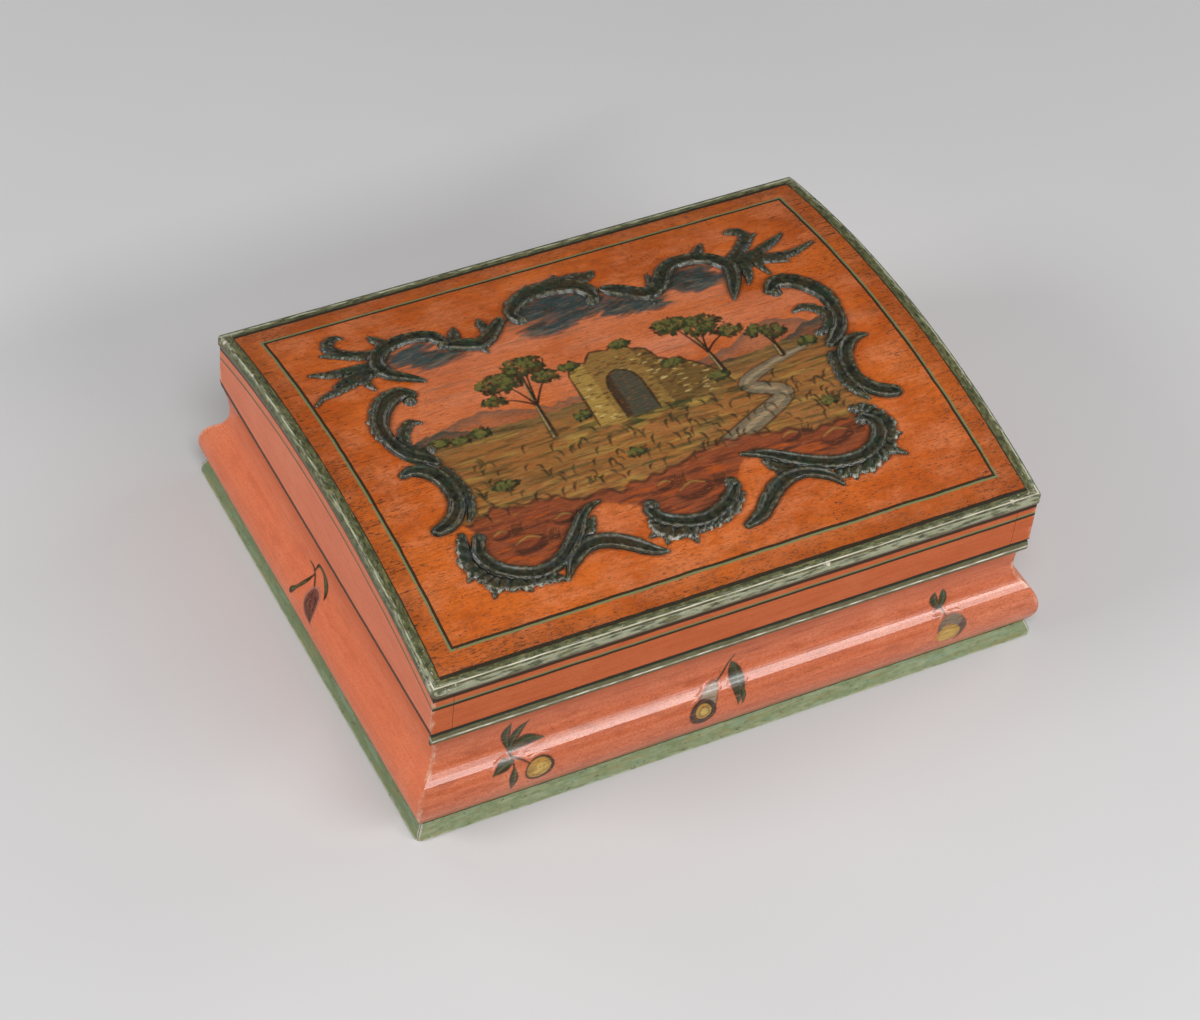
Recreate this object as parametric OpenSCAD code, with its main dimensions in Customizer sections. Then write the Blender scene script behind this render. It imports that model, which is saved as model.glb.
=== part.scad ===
// Lacquered wooden box: an ogee base on a canted plinth and a hinged lid with an arched panel.
// Millimetres, +Z up, +X right, front towards -Y, origin on the floor under the middle of the box.

/* [Lid frame] */
// Width of the lid frame, left to right
frame_w = 360; // [320:1:420]
// Depth of the lid frame, front to back
frame_d = 280; // [250:1:320]
// Height of the lid frame at its front and back
frame_h = 29; // [24:0.5:40]
// Thickness of the frame rails, and of the base walls at the lid line
board_t = 12; // [10:0.5:16]
// Open gap at the lid line
lid_gap = 0.3; // [0.2:0.05:0.5]

/* [Arched panel] */
// Rise of the panel's underside from the front rail to the crest
arch_rise = 18.2; // [12:0.2:24]
// Thickness of the panel staves
panel_t = 6; // [5:0.5:8]
// How far the edge moulding stands out past the frame
edge_overhang = 2; // [1:0.1:3]
// How far the edge moulding reaches in over the frame
edge_inset = 5.6; // [5:0.1:8]
// How far the edge roll stands above the panel
edge_proud = 0.25; // [0.2:0.05:0.6]
// Radius of the rounded corners of the edge moulding
edge_corner_r = 6; // [2:0.5:10]

/* [Scroll relief] */
// Bare panel left beside the relief at each side of the frame
relief_margin_x = 21; // [15:0.5:40]
// Bare panel left before and behind the relief
relief_margin_y = 31; // [24:0.5:50]
// Height of the scroll bands above the panel
scroll_h = 2.6; // [1.5:0.1:4]
// Height of the leaves and ruffles above the panel
leaf_h = 1.6; // [0.8:0.1:2.5]

/* [Base] */
// Height of the base, up to the lid line
base_h = 72; // [66:0.5:90]
// Depth of the cove under the lid frame
cove_depth = 4; // [2:0.1:6]
// Height at which the cove is deepest
cove_z = 52; // [48:0.5:58]
// Radius of the lower half of the cove
cove_r = 18; // [16:0.5:22]
// How far the bulge stands out past the frame
bulge_out = 9.5; // [7:0.1:12]
// Height at which the bulge is widest
bulge_z = 22.5; // [19:0.5:26]
// Height of the front bead
bead_h = 9; // [6:0.5:11]
// How far the crown of the bead stands out past the frame
bead_out = 0.9; // [0.4:0.1:2]
// Crown of the bead, from its edges to its front
bead_crown = 2.5; // [1.5:0.1:4]
// Depth of the rabbet that the bead lies in
bead_rabbet = 3; // [2.2:0.1:4]
// How far the bead stops short of the frame's corners
bead_stop = 0.6; // [0.2:0.1:2]

/* [Plinth and bottom] */
// Height of the plinth
plinth_h = 10.5; // [8:0.5:14]
// Reach of the plinth past the frame at its top
plinth_top = 5; // [3:0.1:6]
// Reach of the plinth past the frame at the floor
plinth_foot = 9.4; // [6:0.1:10]
// Worn bevel along the plinth's lower edge
plinth_wear = 0.8; // [0.3:0.1:1.5]
// Radius of the worn corners of the plinth at the floor
plinth_corner_r = 5; // [2:0.5:10]
// How far the plinth strips reach in under the walls
plinth_lap = 2; // [1:0.5:4]
// Thickness of the bottom board
bottom_t = 8; // [5:0.5:8]
// Radius of the bottom nails
bottom_nail_r = 1.1; // [0.8:0.1:1.5]
// Length of the bottom nails past the board
bottom_nail_l = 12; // [8:0.5:20]

/* [Hinges] */
// Length of each hinge
hinge_l = 44; // [30:1:60]
// Distance from the frame's corner to the middle of a hinge
hinge_from_corner = 75; // [50:1:110]
// How far the hinge axis lies inside the back of the frame
hinge_inset = 1.5; // [1:0.1:2]
// Thickness of the hinge leaves
leaf_t = 1.2; // [0.8:0.1:1.6]
// Wood left between a leaf and the inside of the box
leaf_margin = 1; // [0.6:0.1:2]
// Radius of the hinge knuckles
knuckle_r = 2.4; // [2:0.1:3]
// Radius of the hinge pins
pin_r = 1.1; // [0.8:0.1:1.4]
// Running clearance of the pin in the lid's knuckle
pin_clear = 0.05; // [0.02:0.01:0.1]
// Clearance between moving knuckles, and round them in the wood
knuckle_clear = 0.3; // [0.2:0.05:0.5]
// Angle at which the bevelled back edges of lid and base would meet
stop_angle = 102; // [95:1:115]
// Radius of the hinge nails
hinge_nail_r = 0.9; // [0.6:0.1:1.1]
// Radius of the hinge nails' heads
hinge_head_r = 1.8; // [1.4:0.1:2.2]
// Length of the hinge nails past the leaf
hinge_nail_l = 9; // [6:0.5:14]
// Spacing of the nails along a leaf
hinge_nail_step = 15; // [8:0.5:18]

/* [Hidden] */
$fn = 48;
seat_gap = 0.05;
over = 20;
arch_sides = 360;
arc_steps = 10;
spline_steps = 4;

// Half sizes of the frame
half_w = frame_w / 2;
half_d = frame_d / 2;

// The arch: a cylinder along X under the lid
lid_z = base_h + lid_gap;
arch_r = (half_d * half_d + arch_rise * arch_rise) / (2 * arch_rise);
arch_z = lid_z + frame_h + arch_rise - arch_r;
panel_r = arch_r + panel_t;
edge_angle = asin(half_d / arch_r);
panel_angle = edge_angle - edge_inset / arch_r * 180 / PI;
stave_angle = panel_angle * 2 / 3;

// The roll of the edge moulding
roll_r = (panel_t + edge_proud - seat_gap) / 2;
roll_at = edge_overhang - roll_r;
edge_out_x = half_w + edge_overhang;
edge_out_y = (arch_r + seat_gap + roll_r) * sin(edge_angle) + roll_at * cos(edge_angle) + roll_r;

// The ogee: an upper and a lower cove arc, and the bulge tangent to the lower one
cove_top_r = (pow(cove_depth, 2) + pow(base_h - cove_z, 2)) / (2 * cove_depth);
cove_drop = cove_z - bulge_z;
cove_lead = cove_r - cove_depth - bulge_out;
bulge_r = (pow(cove_lead, 2) + pow(cove_drop, 2) - pow(cove_r, 2)) / (2 * (cove_r - cove_lead));
bulge_at = [bulge_out - bulge_r, bulge_z];
cove_at = [cove_r - cove_depth, cove_z];
cove_top_at = [cove_top_r - cove_depth, cove_z];
turn_angle = atan2(cove_drop, cove_at[0] - bulge_at[0]);
bulge_low_angle = -asin((bulge_z - plinth_h) / bulge_r);
cove_high_angle = 180 - asin((base_h - cove_z) / cove_top_r);

// The hinge axis, in the middle of the lid line
axis_y = half_d - hinge_inset;
axis_z = base_h + lid_gap / 2;
hinge_x = half_w - hinge_from_corner;
leaf_w = board_t - hinge_inset - leaf_margin;
leaf_nail_y = -(leaf_w + knuckle_r) / 2;
knuckle_l = hinge_l / 3;

// The bottom board and its nails
bottom_w = frame_w - 2 * plinth_lap;
bottom_d = frame_d - 2 * plinth_lap;
bottom_z = plinth_h - bottom_t;
bottom_head_r = 2.2 * bottom_nail_r;
bottom_head_h = 0.7 * bottom_nail_r;

// The relief is drawn on a field of 318 by 218 and stretched to the panel
draw_w = 318;
draw_d = 218;
relief_sx = (frame_w - 2 * relief_margin_x) / draw_w;
relief_sy = (frame_d - 2 * relief_margin_y) / draw_d;
curl_sides = 32;

// Relief strokes: points [x, y, half width], round numbers read along each scroll or leaf
crest_bands = [
    [[-28, 78, 3], [-29.5, 84, 4], [-24, 91, 5], [-15, 96.5, 6], [-4, 98, 6.5], [6, 97, 7], [14, 93, 6],
        [19, 86, 5], [19.5, 79, 3.5]]
];
crest_curls = [[-27, 77, 4], [17, 77, 4.2]];
crest_leaves = [
    [[4, 100, 6], [17, 100, 6], [25, 99.5, 4], [30, 102.5, 0.8]],
    [[-18, 98, 4], [-12, 103, 2], [-10, 105.5, 0.8]],
    [[2, 102, 4], [7, 106, 2], [9, 108, 0.8]]
];
left_shoulder_bands = [
    [[-98, 51, 1.2], [-104, 56, 2.6], [-111, 61.5, 3.8], [-115, 69, 5], [-114, 77, 5], [-107, 85, 5],
        [-97, 88.5, 4.5], [-87, 88.5, 4.5], [-78.5, 85, 4.5], [-74.5, 78, 3.5]],
    [[-72, 73, 4], [-64.5, 70, 5], [-57.5, 67.5, 5], [-51, 70, 5], [-45, 75, 4.5], [-38, 81.5, 3.2]]
];
left_shoulder_curls = [[-75, 74.5, 3.8]];
left_shoulder_leaves = [
    [[-113, 83, 4.5], [-122, 87, 4.2], [-129.5, 92.5, 4.2], [-133, 99, 4], [-131, 105, 3.6],
        [-126, 107.5, 2.6], [-122.5, 105.5, 1]],
    [[-120, 84.5, 2.5], [-130, 90, 2.4], [-139.5, 95, 0.8]],
    [[-104, 90, 4], [-107, 95.5, 3], [-109, 99.5, 1]],
    [[-116, 73, 5], [-125, 75, 4.2], [-134, 76, 3.8], [-143, 77.5, 3], [-152, 81, 0.8]],
    [[-117, 71, 4], [-131, 70, 4], [-144, 66, 1]],
    [[-118, 69, 3.5], [-133, 65, 3.2], [-146, 61.5, 2.6], [-153, 60, 1.8], [-159, 55.5, 0.8]],
    [[-127, 66, 3], [-126.5, 60, 2.2], [-125, 55, 0.8]],
    [[-69, 75, 4], [-66, 81, 3.4], [-64, 86.5, 1.2]],
    [[-47, 76, 4], [-48.5, 83, 2.8], [-48, 88, 1]],
    [[-57.5, 66, 3], [-56, 59, 0.8]]
];
right_shoulder_bands = [
    [[26.5, 83.5, 2], [31, 80.5, 4.5], [37, 76, 5.5], [43, 71, 5.5], [48.5, 69, 5.5], [55, 71.5, 5.5],
        [60.5, 77, 5.5], [65.5, 84, 5.2], [72, 88, 5], [80, 89, 4.8], [88, 87, 4.8], [95, 82.5, 4.8],
        [99.5, 76, 5], [101, 70, 5], [98, 61, 4.5], [93.5, 52.5, 3.2], [89.5, 44.5, 0.8]]
];
right_shoulder_curls = [];
right_shoulder_leaves = [
    [[88, 90, 3.5], [93, 94, 3], [97.5, 99, 0.8]],
    [[101, 75, 5], [109, 79, 4.8], [116.5, 86, 4.4], [122.5, 92, 4.2], [124, 98, 3.4], [120.5, 102, 3.4],
        [116, 102.5, 1.8]],
    [[121, 90, 3], [130, 94.5, 0.8]],
    [[103, 74, 5], [117, 76, 4], [128, 80, 3.4], [136, 83.5, 2.8], [144, 88, 0.8]],
    [[105, 72, 5], [120, 71, 4.4], [130, 69.5, 4], [138, 68.5, 3.2], [147, 70.5, 2.2], [155.5, 73, 0.8]],
    [[123, 69, 3], [134.5, 63, 0.8]],
    [[117, 69, 3], [119, 57, 0.8]],
    [[109, 69, 4], [107, 60, 2.6], [103.5, 53.5, 0.8]],
    [[54, 74, 4], [55.5, 85, 1]],
    [[48, 67, 3], [47, 59, 0.8]]
];
left_side_bands = [
    [[-109, 43, 3], [-115, 46, 5], [-123, 43.5, 5.8], [-130, 36, 5.6], [-134.5, 27, 4.8], [-135.5, 17, 4.4],
        [-134, 8, 4.2], [-130, 0, 4.4], [-124, -5, 4.5], [-119, -10, 3]],
    [[-139, -12, 2.4], [-134, -11, 3.6], [-128, -13.5, 4.6], [-122.5, -20, 4.8], [-120, -30, 4.8],
        [-121, -40, 4.8], [-125.5, -47.5, 5], [-132, -52, 4.6], [-138.5, -53.5, 3.4]]
];
left_side_curls = [[-112, 38.5, 4], [-118, 0, 3.6]];
left_side_leaves = [
    [[-114, 20.5, 0.9], [-119, 22.5, 2.6], [-124.5, 18.5, 3.6], [-128, 11, 3.5], [-127, 4, 3], [-122, 0, 3]],
    [[-133, 31, 3], [-140, 32, 0.8]],
    [[-117, -17, 3.5], [-114.5, -27, 3], [-113.5, -37, 3], [-116, -47, 2.5], [-120, -53, 1]]
];
right_side_bands = [
    [[110.5, 43, 3], [117, 48, 5], [125, 46, 5.6], [132, 39, 5.4], [136.5, 30, 4.8], [137.5, 20, 4.4],
        [136.5, 10, 4.4], [133, 2, 4.4], [127.5, -4, 4.5], [121, -9, 3]],
    [[143, -10, 0.9], [136, -10, 3], [129, -13, 4.6], [123.5, -21, 4.8], [121, -31, 4.8], [122, -40, 4.8],
        [126.5, -47.5, 5], [132, -51.5, 4.8], [137, -53.5, 4]]
];
right_side_curls = [[113.5, 40.5, 4], [119.5, 1, 3]];
right_side_leaves = [
    [[114.5, 21.5, 0.9], [120, 23, 2.6], [126, 20.5, 3.2], [130, 14, 3.4], [129, 6, 3], [123.5, 1.5, 2.8]],
    [[135, 30, 3], [142.5, 31, 0.8]],
    [[118, -17, 3.5], [115.5, -26, 3.2], [114.5, -36, 3.2], [117, -46, 2.6], [121, -53, 1]]
];
bottom_left_bands = [
    [[-121, -66, 3.4], [-124, -74, 4.4], [-122, -82, 4.5], [-115, -89.5, 4.5], [-104, -94.5, 4.2],
        [-94, -95, 4.2], [-84, -91.5, 4.5], [-76.5, -85.5, 4.5], [-70, -79, 4.2], [-64.5, -72.5, 3.4],
        [-58, -67.5, 2.2], [-50, -65, 0.8]],
    [[-87, -104, 0.9], [-80, -95.5, 3.6], [-70.5, -89.5, 4.4], [-61, -88.5, 4.6], [-51.5, -92, 5],
        [-43, -98, 4.6], [-36, -103.5, 3], [-29.5, -106.5, 0.8]]
];
bottom_left_curls = [[-119.5, -65.5, 3.6]];
bottom_left_leaves = [
    [[-128, -61, 2.5], [-131, -70, 4], [-132.5, -79, 4.5], [-129, -87, 4], [-124, -94, 4.5], [-114, -98, 4],
        [-103, -99.5, 3.5], [-93, -101, 3], [-87, -104.5, 0.9]],
    [[-131, -84, 3.5], [-136.5, -88, 0.8]],
    [[-125, -95, 3.5], [-128, -101.5, 0.8]],
    [[-112, -99, 3.5], [-108, -104, 0.8]],
    [[-71, -83, 4], [-63, -79, 4], [-57.5, -73.5, 0.9]]
];
bottom_middle_bands = [
    [[-27.5, -80, 3.6], [-23, -87.5, 4.4], [-13.5, -92.5, 4.5], [-3, -94.5, 4.5], [7, -92.5, 4.5],
        [16, -88, 4.5], [23, -81, 3.6]]
];
bottom_middle_curls = [[-25, -77.5, 4.4], [22.5, -78.5, 4.2]];
bottom_middle_leaves = [
    [[-30, -86, 2], [-26.5, -93, 4.5], [-16, -98, 4.5], [-5, -98.5, 3.5], [6, -97.5, 3.5], [16, -93.5, 3.5],
        [24.5, -87, 2]],
    [[-27, -93, 4], [-34.5, -95.5, 0.8]],
    [[-24, -96, 4], [-28, -102, 0.8]],
    [[-13, -98, 4.5], [-12, -106.5, 0.8]]
];
bottom_right_bands = [
    [[111, -63.5, 3], [115, -68, 4], [114.5, -75, 4.5], [109.5, -81.5, 4.5], [100.5, -86, 4.5],
        [90, -87, 4.5], [79, -85, 4.5], [69, -80.5, 4.5], [60, -75.5, 4.4], [51, -69.5, 3.6],
        [44, -66, 2.4], [36, -63.5, 0.8]],
    [[18, -106, 2], [27.5, -102.5, 4.2], [36, -95.5, 5], [44, -89.5, 5], [53, -86, 4.4], [62, -86, 3.4],
        [71, -89.5, 3.4], [77, -95, 2.6], [79.5, -100, 0.8]]
];
bottom_right_curls = [[109, -65, 3.4], [109.5, -57, 3]];
bottom_right_leaves = [
    [[109, -57, 3], [116, -58.5, 3.4], [120.5, -65, 4], [122, -74, 4.4], [117, -82, 4.5], [112, -88, 4],
        [102, -92, 4], [91, -94, 3.6], [80, -93, 3]],
    [[119, -78, 3.5], [125.5, -80.5, 0.8]],
    [[114, -87, 4], [122, -93.5, 0.8]],
    [[102, -92, 3.5], [99, -98, 0.8]],
    [[89, -94, 3.5], [88, -99, 0.8]],
    [[59, -82, 4], [51, -78.5, 4], [45, -71.5, 0.9]]
];

// Points of an arc round a centre, without its first point
function arc(at, r, from, to) = [
    for (i = [1 : arc_steps])
        let (a = from + (to - from) * i / arc_steps)
        at + r * [cos(a), sin(a)]
];

// A point of a smooth curve between b and c
function between(a, b, c, d, t) =
    0.5 * (2 * b + (c - a) * t + (2 * a - 5 * b + 4 * c - d) * t * t + (3 * b - a - 3 * c + d) * t * t * t);

// A smooth curve through all points of a list
function smooth(p) =
    let (last = len(p) - 1)
    concat(
        [for (i = [0 : last - 1])
            for (j = [0 : spline_steps - 1])
                between(p[max(i - 1, 0)], p[i], p[i + 1], p[min(i + 2, last)], j / spline_steps)],
        [p[last]]
    );

// A drawn point stretched to the panel
function on_panel(p) = [p[0] * relief_sx, p[1] * relief_sy];

// Outline of a round curl [x, y, radius]
function curl(c) = [
    for (i = [1 : curl_sides])
        let (a = 360 * i / curl_sides)
        on_panel([c[0] + c[2] * cos(a), c[1] + c[2] * sin(a)])
];

// Outline of a stroke along points [x, y, half width]
function outline(p) =
    let (
        s = smooth(p),
        last = len(s) - 1,
        sides = [for (i = [0 : last])
            let (
                run = s[min(i + 1, last)] - s[max(i - 1, 0)],
                across = [-run[1], run[0]] / norm([run[0], run[1]]) * s[i][2],
                here = [s[i][0], s[i][1]]
            )
            [on_panel(here + across), on_panel(here - across)]]
    )
    concat([for (i = [0 : last]) sides[i][0]], [for (i = [last : -1 : 0]) sides[i][1]]);

wall_outline = concat(
    [[-board_t, plinth_h], bulge_at + bulge_r * [cos(bulge_low_angle), sin(bulge_low_angle)]],
    arc(bulge_at, bulge_r, bulge_low_angle, turn_angle),
    arc(cove_at, cove_r, 180 + turn_angle, 180),
    arc(cove_top_at, cove_top_r, 180, cove_high_angle),
    [[-board_t, base_h]]
);
plinth_outline = [
    [-plinth_lap, 0], [plinth_foot - plinth_wear, 0], [plinth_foot, plinth_wear], [plinth_top, plinth_h],
    [-plinth_lap, plinth_h]
];

// Turns the front of something into its back, left or right
module to_back() { rotate(180) children(); }
module to_left() { rotate(-90) children(); }
module to_right() { rotate(90) children(); }

// A strip along the front, cut to mitres; its outline is drawn outwards from the frame and up
module mitred_strip(half_run, reach) {
    out = over + bulge_out;
    in = board_t + over;
    intersection() {
        translate([0, -reach, 0]) rotate([90, 0, -90])
            linear_extrude(2 * (half_run + out), center = true) children();
        linear_extrude(base_h + over) polygon([
            [-half_run - out, -reach - out], [half_run + out, -reach - out],
            [half_run - in, -reach + in], [in - half_run, -reach + in]
        ]);
    }
}

// What is cut away to round the corners of a rectangle of these half sizes
module corner_waste(half_x, half_y, r) {
    for (x = [0, 1], y = [0, 1]) mirror([x, 0, 0]) mirror([0, y, 0])
        translate([half_x - r, half_y - r, 0]) linear_extrude(lid_z + frame_h + arch_rise + over)
            difference() {
                square(r + over);
                circle(r);
            }
}

// A cylinder along X with the arch's axis
module arch_cylinder(r, length) {
    translate([0, 0, arch_z]) rotate([0, 90, 0]) cylinder(r = r, h = length, center = true, $fn = arch_sides);
}

// Turns children about the arch's axis, so that up is straight out of the arch at that angle
module on_arch(angle) {
    translate([0, 0, arch_z]) rotate([-angle, 0, 0]) children();
}

// A profile [radius, along X] swept round the arch between two angles
module arch_sweep(from, to) {
    translate([0, 0, arch_z]) rotate([0, -90, 0]) rotate(from)
        rotate_extrude(angle = to - from, $fn = arch_sides) children();
}

module stave(number) {
    from = -panel_angle + stave_angle * number;
    color([0.82, 0.34, 0.12]) arch_sweep(from, from + stave_angle)
        translate([arch_r, edge_inset - half_w]) square([panel_t, frame_w - 2 * edge_inset]);
}
module lid_stave_front() { stave(0); }
module lid_stave_middle() { stave(1); }
module lid_stave_back() { stave(2); }

// Section of the edge moulding: [radius, outwards from the frame]
module edge_section() {
    translate([arch_r, -edge_inset]) square([panel_t + seat_gap, edge_inset + roll_at]);
    translate([arch_r + seat_gap + roll_r, roll_at]) circle(roll_r);
}

// Straight edge moulding along the back; the mitres stand square to the arch
module edge_straight() {
    reach = half_w + over;
    color([0.35, 0.36, 0.2]) on_arch(edge_angle) intersection() {
        rotate([0, -90, 0]) linear_extrude(2 * reach, center = true) edge_section();
        translate([0, 0, arch_r - over]) linear_extrude(2 * over) polygon([
            [-reach, over], [reach, over], [half_w - over, -over], [over - half_w, -over]
        ]);
    }
}

// Arched edge moulding on the left
module edge_arched() {
    spare = 1;
    color([0.35, 0.36, 0.2]) difference() {
        arch_sweep(-edge_angle - spare, edge_angle + spare) translate([0, half_w]) edge_section();
        for (end = [0, 1]) mirror([0, end, 0]) on_arch(edge_angle)
            translate([0, 0, arch_r - over]) linear_extrude(2 * over) polygon([
                [over - half_w, -over], [-half_w - over, over], [over - half_w, over]
            ]);
    }
}
module rounded_edge() {
    difference() {
        children();
        corner_waste(edge_out_x, edge_out_y, edge_corner_r);
    }
}
module lid_edge_front() { mirror([0, 1, 0]) lid_edge_back(); }
module lid_edge_back() { rounded_edge() edge_straight(); }
module lid_edge_left() { rounded_edge() edge_arched(); }
module lid_edge_right() { mirror([1, 0, 0]) lid_edge_left(); }

// A lid rail with its top cut to the arch
module rail(from, size) {
    color([0.86, 0.45, 0.3]) intersection() {
        translate([from[0], from[1], lid_z]) cube([size[0], size[1], frame_h + arch_rise + over]);
        arch_cylinder(arch_r, frame_w + over);
    }
}
module lid_rail_front() { rail([board_t - half_w, -half_d], [frame_w - 2 * board_t, board_t]); }
module lid_rail_back() {
    difference() {
        rail([board_t - half_w, half_d - board_t], [frame_w - 2 * board_t, board_t]);
        back_bevel(1);
        hinge_seats(1);
        hinge_nails(1, seat_gap);
    }
}
module lid_rail_left() {
    difference() {
        rail([-half_w, -half_d], [board_t, frame_d]);
        back_bevel(1);
    }
}
module lid_rail_right() { mirror([1, 0, 0]) lid_rail_left(); }

// One layer of relief on the panel
module relief_layer(strokes, curls, height) {
    intersection() {
        translate([0, 0, lid_z + frame_h]) linear_extrude(arch_rise + panel_t + height + over) {
            for (p = strokes) polygon(outline(p));
            for (c = curls) polygon(curl(c));
        }
        difference() {
            arch_cylinder(panel_r + height, frame_w);
            arch_cylinder(panel_r, frame_w + over);
        }
    }
}
module relief(bands, curls, leaves) {
    color([0.16, 0.17, 0.12]) union() {
        relief_layer(bands, curls, scroll_h);
        relief_layer(leaves, [], leaf_h);
    }
}
module relief_crest() { relief(crest_bands, crest_curls, crest_leaves); }
module relief_left_shoulder() { relief(left_shoulder_bands, left_shoulder_curls, left_shoulder_leaves); }
module relief_right_shoulder() { relief(right_shoulder_bands, right_shoulder_curls, right_shoulder_leaves); }
module relief_left_side() { relief(left_side_bands, left_side_curls, left_side_leaves); }
module relief_right_side() { relief(right_side_bands, right_side_curls, right_side_leaves); }
module relief_bottom_left() { relief(bottom_left_bands, bottom_left_curls, bottom_left_leaves); }
module relief_bottom_middle() { relief(bottom_middle_bands, bottom_middle_curls, bottom_middle_leaves); }
module relief_bottom_right() { relief(bottom_right_bands, bottom_right_curls, bottom_right_leaves); }

// Rabbet for the front bead, across the whole front
module bead_seat() {
    translate([-half_w - over, -half_d - over, base_h - bead_h])
        cube([frame_w + 2 * over, over + bead_rabbet, bead_h + over]);
}
module front_bead() {
    crown_r = (pow(bead_h / 2, 2) + pow(bead_crown, 2)) / (2 * bead_crown);
    color([0.3, 0.32, 0.16]) translate([0, -half_d, base_h - bead_h]) rotate([90, 0, -90])
        linear_extrude(frame_w - 2 * bead_stop, center = true) intersection() {
            translate([-bead_rabbet, 0]) square([bead_rabbet + bead_out + over, bead_h]);
            translate([bead_out - crown_r, bead_h / 2]) circle(crown_r, $fn = 96);
        }
}

module wall(half_run, reach) {
    color([0.86, 0.45, 0.3]) mitred_strip(half_run, reach) polygon(wall_outline);
}
module base_wall_front() {
    difference() {
        wall(half_w, half_d);
        bead_seat();
        bottom_nails_at(seat_gap);
    }
}
module base_wall_back() {
    difference() {
        to_back() wall(half_w, half_d);
        back_bevel(-1);
        hinge_seats(-1);
        hinge_nails(-1, seat_gap);
        bottom_nails_at(seat_gap);
    }
}
module base_wall_left() {
    difference() {
        to_left() wall(half_d, half_w);
        bead_seat();
        back_bevel(-1);
        bottom_nails_at(seat_gap);
    }
}
module base_wall_right() { mirror([1, 0, 0]) base_wall_left(); }

module plinth(half_run, reach) {
    color([0.36, 0.36, 0.2]) difference() {
        mitred_strip(half_run, reach) polygon(plinth_outline);
        corner_waste(half_run + plinth_foot, reach + plinth_foot, plinth_corner_r);
    }
}
module plinth_front() { plinth(half_w, half_d); }
module plinth_back() { to_back() plinth(half_w, half_d); }
module plinth_left() { to_left() plinth(half_d, half_w); }
module plinth_right() { to_right() plinth(half_d, half_w); }

module bottom_board() {
    color([0.62, 0.45, 0.28]) difference() {
        translate([-bottom_w / 2, -bottom_d / 2, bottom_z]) cube([bottom_w, bottom_d, bottom_t]);
        bottom_nails_at(seat_gap);
    }
}

// Nails up through the bottom board into the middle of each wall
module bottom_nail(gap) {
    translate([0, 0, bottom_z - bottom_head_h]) cylinder(r = bottom_head_r, h = bottom_head_h);
    translate([0, 0, bottom_z - bottom_head_h])
        cylinder(r = bottom_nail_r + gap, h = bottom_head_h + bottom_t + bottom_nail_l);
}
module bottom_nails_at(gap) {
    row_x = half_w - board_t / 2;
    row_y = half_d - board_t / 2;
    for (side = [-1, 1]) {
        for (share = [-0.75, -0.25, 0.25, 0.75]) translate([share * row_x, side * row_y]) bottom_nail(gap);
        for (share = [-0.4, 0.4]) translate([side * row_x, share * row_y]) bottom_nail(gap);
    }
}
module bottom_nails() { color([0.25, 0.23, 0.22]) bottom_nails_at(0); }

// Bevel along the back edge of the lid (side 1) or the base (side -1); both start at the hinge axis
module back_bevel(side) {
    translate([0, axis_y, axis_z]) mirror([0, 0, side < 0 ? 1 : 0]) rotate([90, 0, 90])
        linear_extrude(frame_w + 2 * over, center = true)
            polygon([[0, 0], [over, 0], [over, over * tan(stop_angle / 2)]]);
}

// Children at both hinges, from each hinge axis
module at_hinges() {
    for (side = [-1, 1]) translate([side * hinge_x, axis_y, axis_z]) children();
}

// A cylinder along a hinge axis
module along_axis(r, length, at = 0) {
    translate([at, 0, 0]) rotate([0, 90, 0]) cylinder(r = r, h = length, center = true);
}

// Wood cut away for the leaves and knuckles, in the lid (side 1) or the base (side -1)
module hinge_seats(side) {
    at_hinges() {
        along_axis(knuckle_r + knuckle_clear, hinge_l + 2 * knuckle_clear);
        mirror([0, 0, side < 0 ? 1 : 0]) translate([-hinge_l / 2 - seat_gap, -leaf_w - seat_gap, 0])
            cube([hinge_l + 2 * seat_gap, leaf_w + seat_gap, lid_gap / 2 + leaf_t]);
    }
}

// A countersunk nail from the lid line into the lid (side 1) or the base (side -1)
module hinge_nail(side, gap) {
    mirror([0, 0, side < 0 ? 1 : 0]) translate([0, leaf_nail_y, lid_gap / 2]) {
        cylinder(r1 = hinge_head_r + gap, r2 = hinge_nail_r + gap, h = leaf_t);
        translate([0, 0, leaf_t / 2]) cylinder(r = hinge_nail_r + gap, h = leaf_t / 2 + hinge_nail_l);
    }
}
module leaf_nails(side, gap) {
    for (place = [-1, 0, 1]) translate([place * hinge_nail_step, 0, 0]) hinge_nail(side, gap);
}
module hinge_nails(side, gap) { at_hinges() leaf_nails(side, gap); }
module hinge_nails_upper() { color([0.6, 0.47, 0.22]) hinge_nails(1, 0); }
module hinge_nails_lower() { color([0.6, 0.47, 0.22]) hinge_nails(-1, 0); }

// A leaf with its own knuckles, cleared round the other leaf's knuckles
module hinge_leaf(side, own, other, bore) {
    color([0.66, 0.52, 0.25]) difference() {
        union() {
            mirror([0, 0, side < 0 ? 1 : 0]) translate([-hinge_l / 2, -leaf_w, lid_gap / 2])
                cube([hinge_l, leaf_w, leaf_t]);
            for (at = own) along_axis(knuckle_r, knuckle_l - knuckle_clear / 2, at);
        }
        for (at = other) along_axis(knuckle_r + knuckle_clear, knuckle_l + knuckle_clear / 2, at);
        along_axis(bore, hinge_l + over);
        leaf_nails(side, seat_gap);
    }
}
module upper_leaf(x) {
    translate([x, axis_y, axis_z]) hinge_leaf(1, [0], [-knuckle_l, knuckle_l], pin_r + pin_clear);
}
module lower_leaf(x) {
    translate([x, axis_y, axis_z]) hinge_leaf(-1, [-knuckle_l, knuckle_l], [0], pin_r);
}
module hinge_pin(x) {
    color([0.55, 0.43, 0.2]) translate([x, axis_y, axis_z]) along_axis(pin_r, hinge_l);
}
module hinge_upper_leaf_left() { upper_leaf(-hinge_x); }
module hinge_upper_leaf_right() { upper_leaf(hinge_x); }
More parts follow.
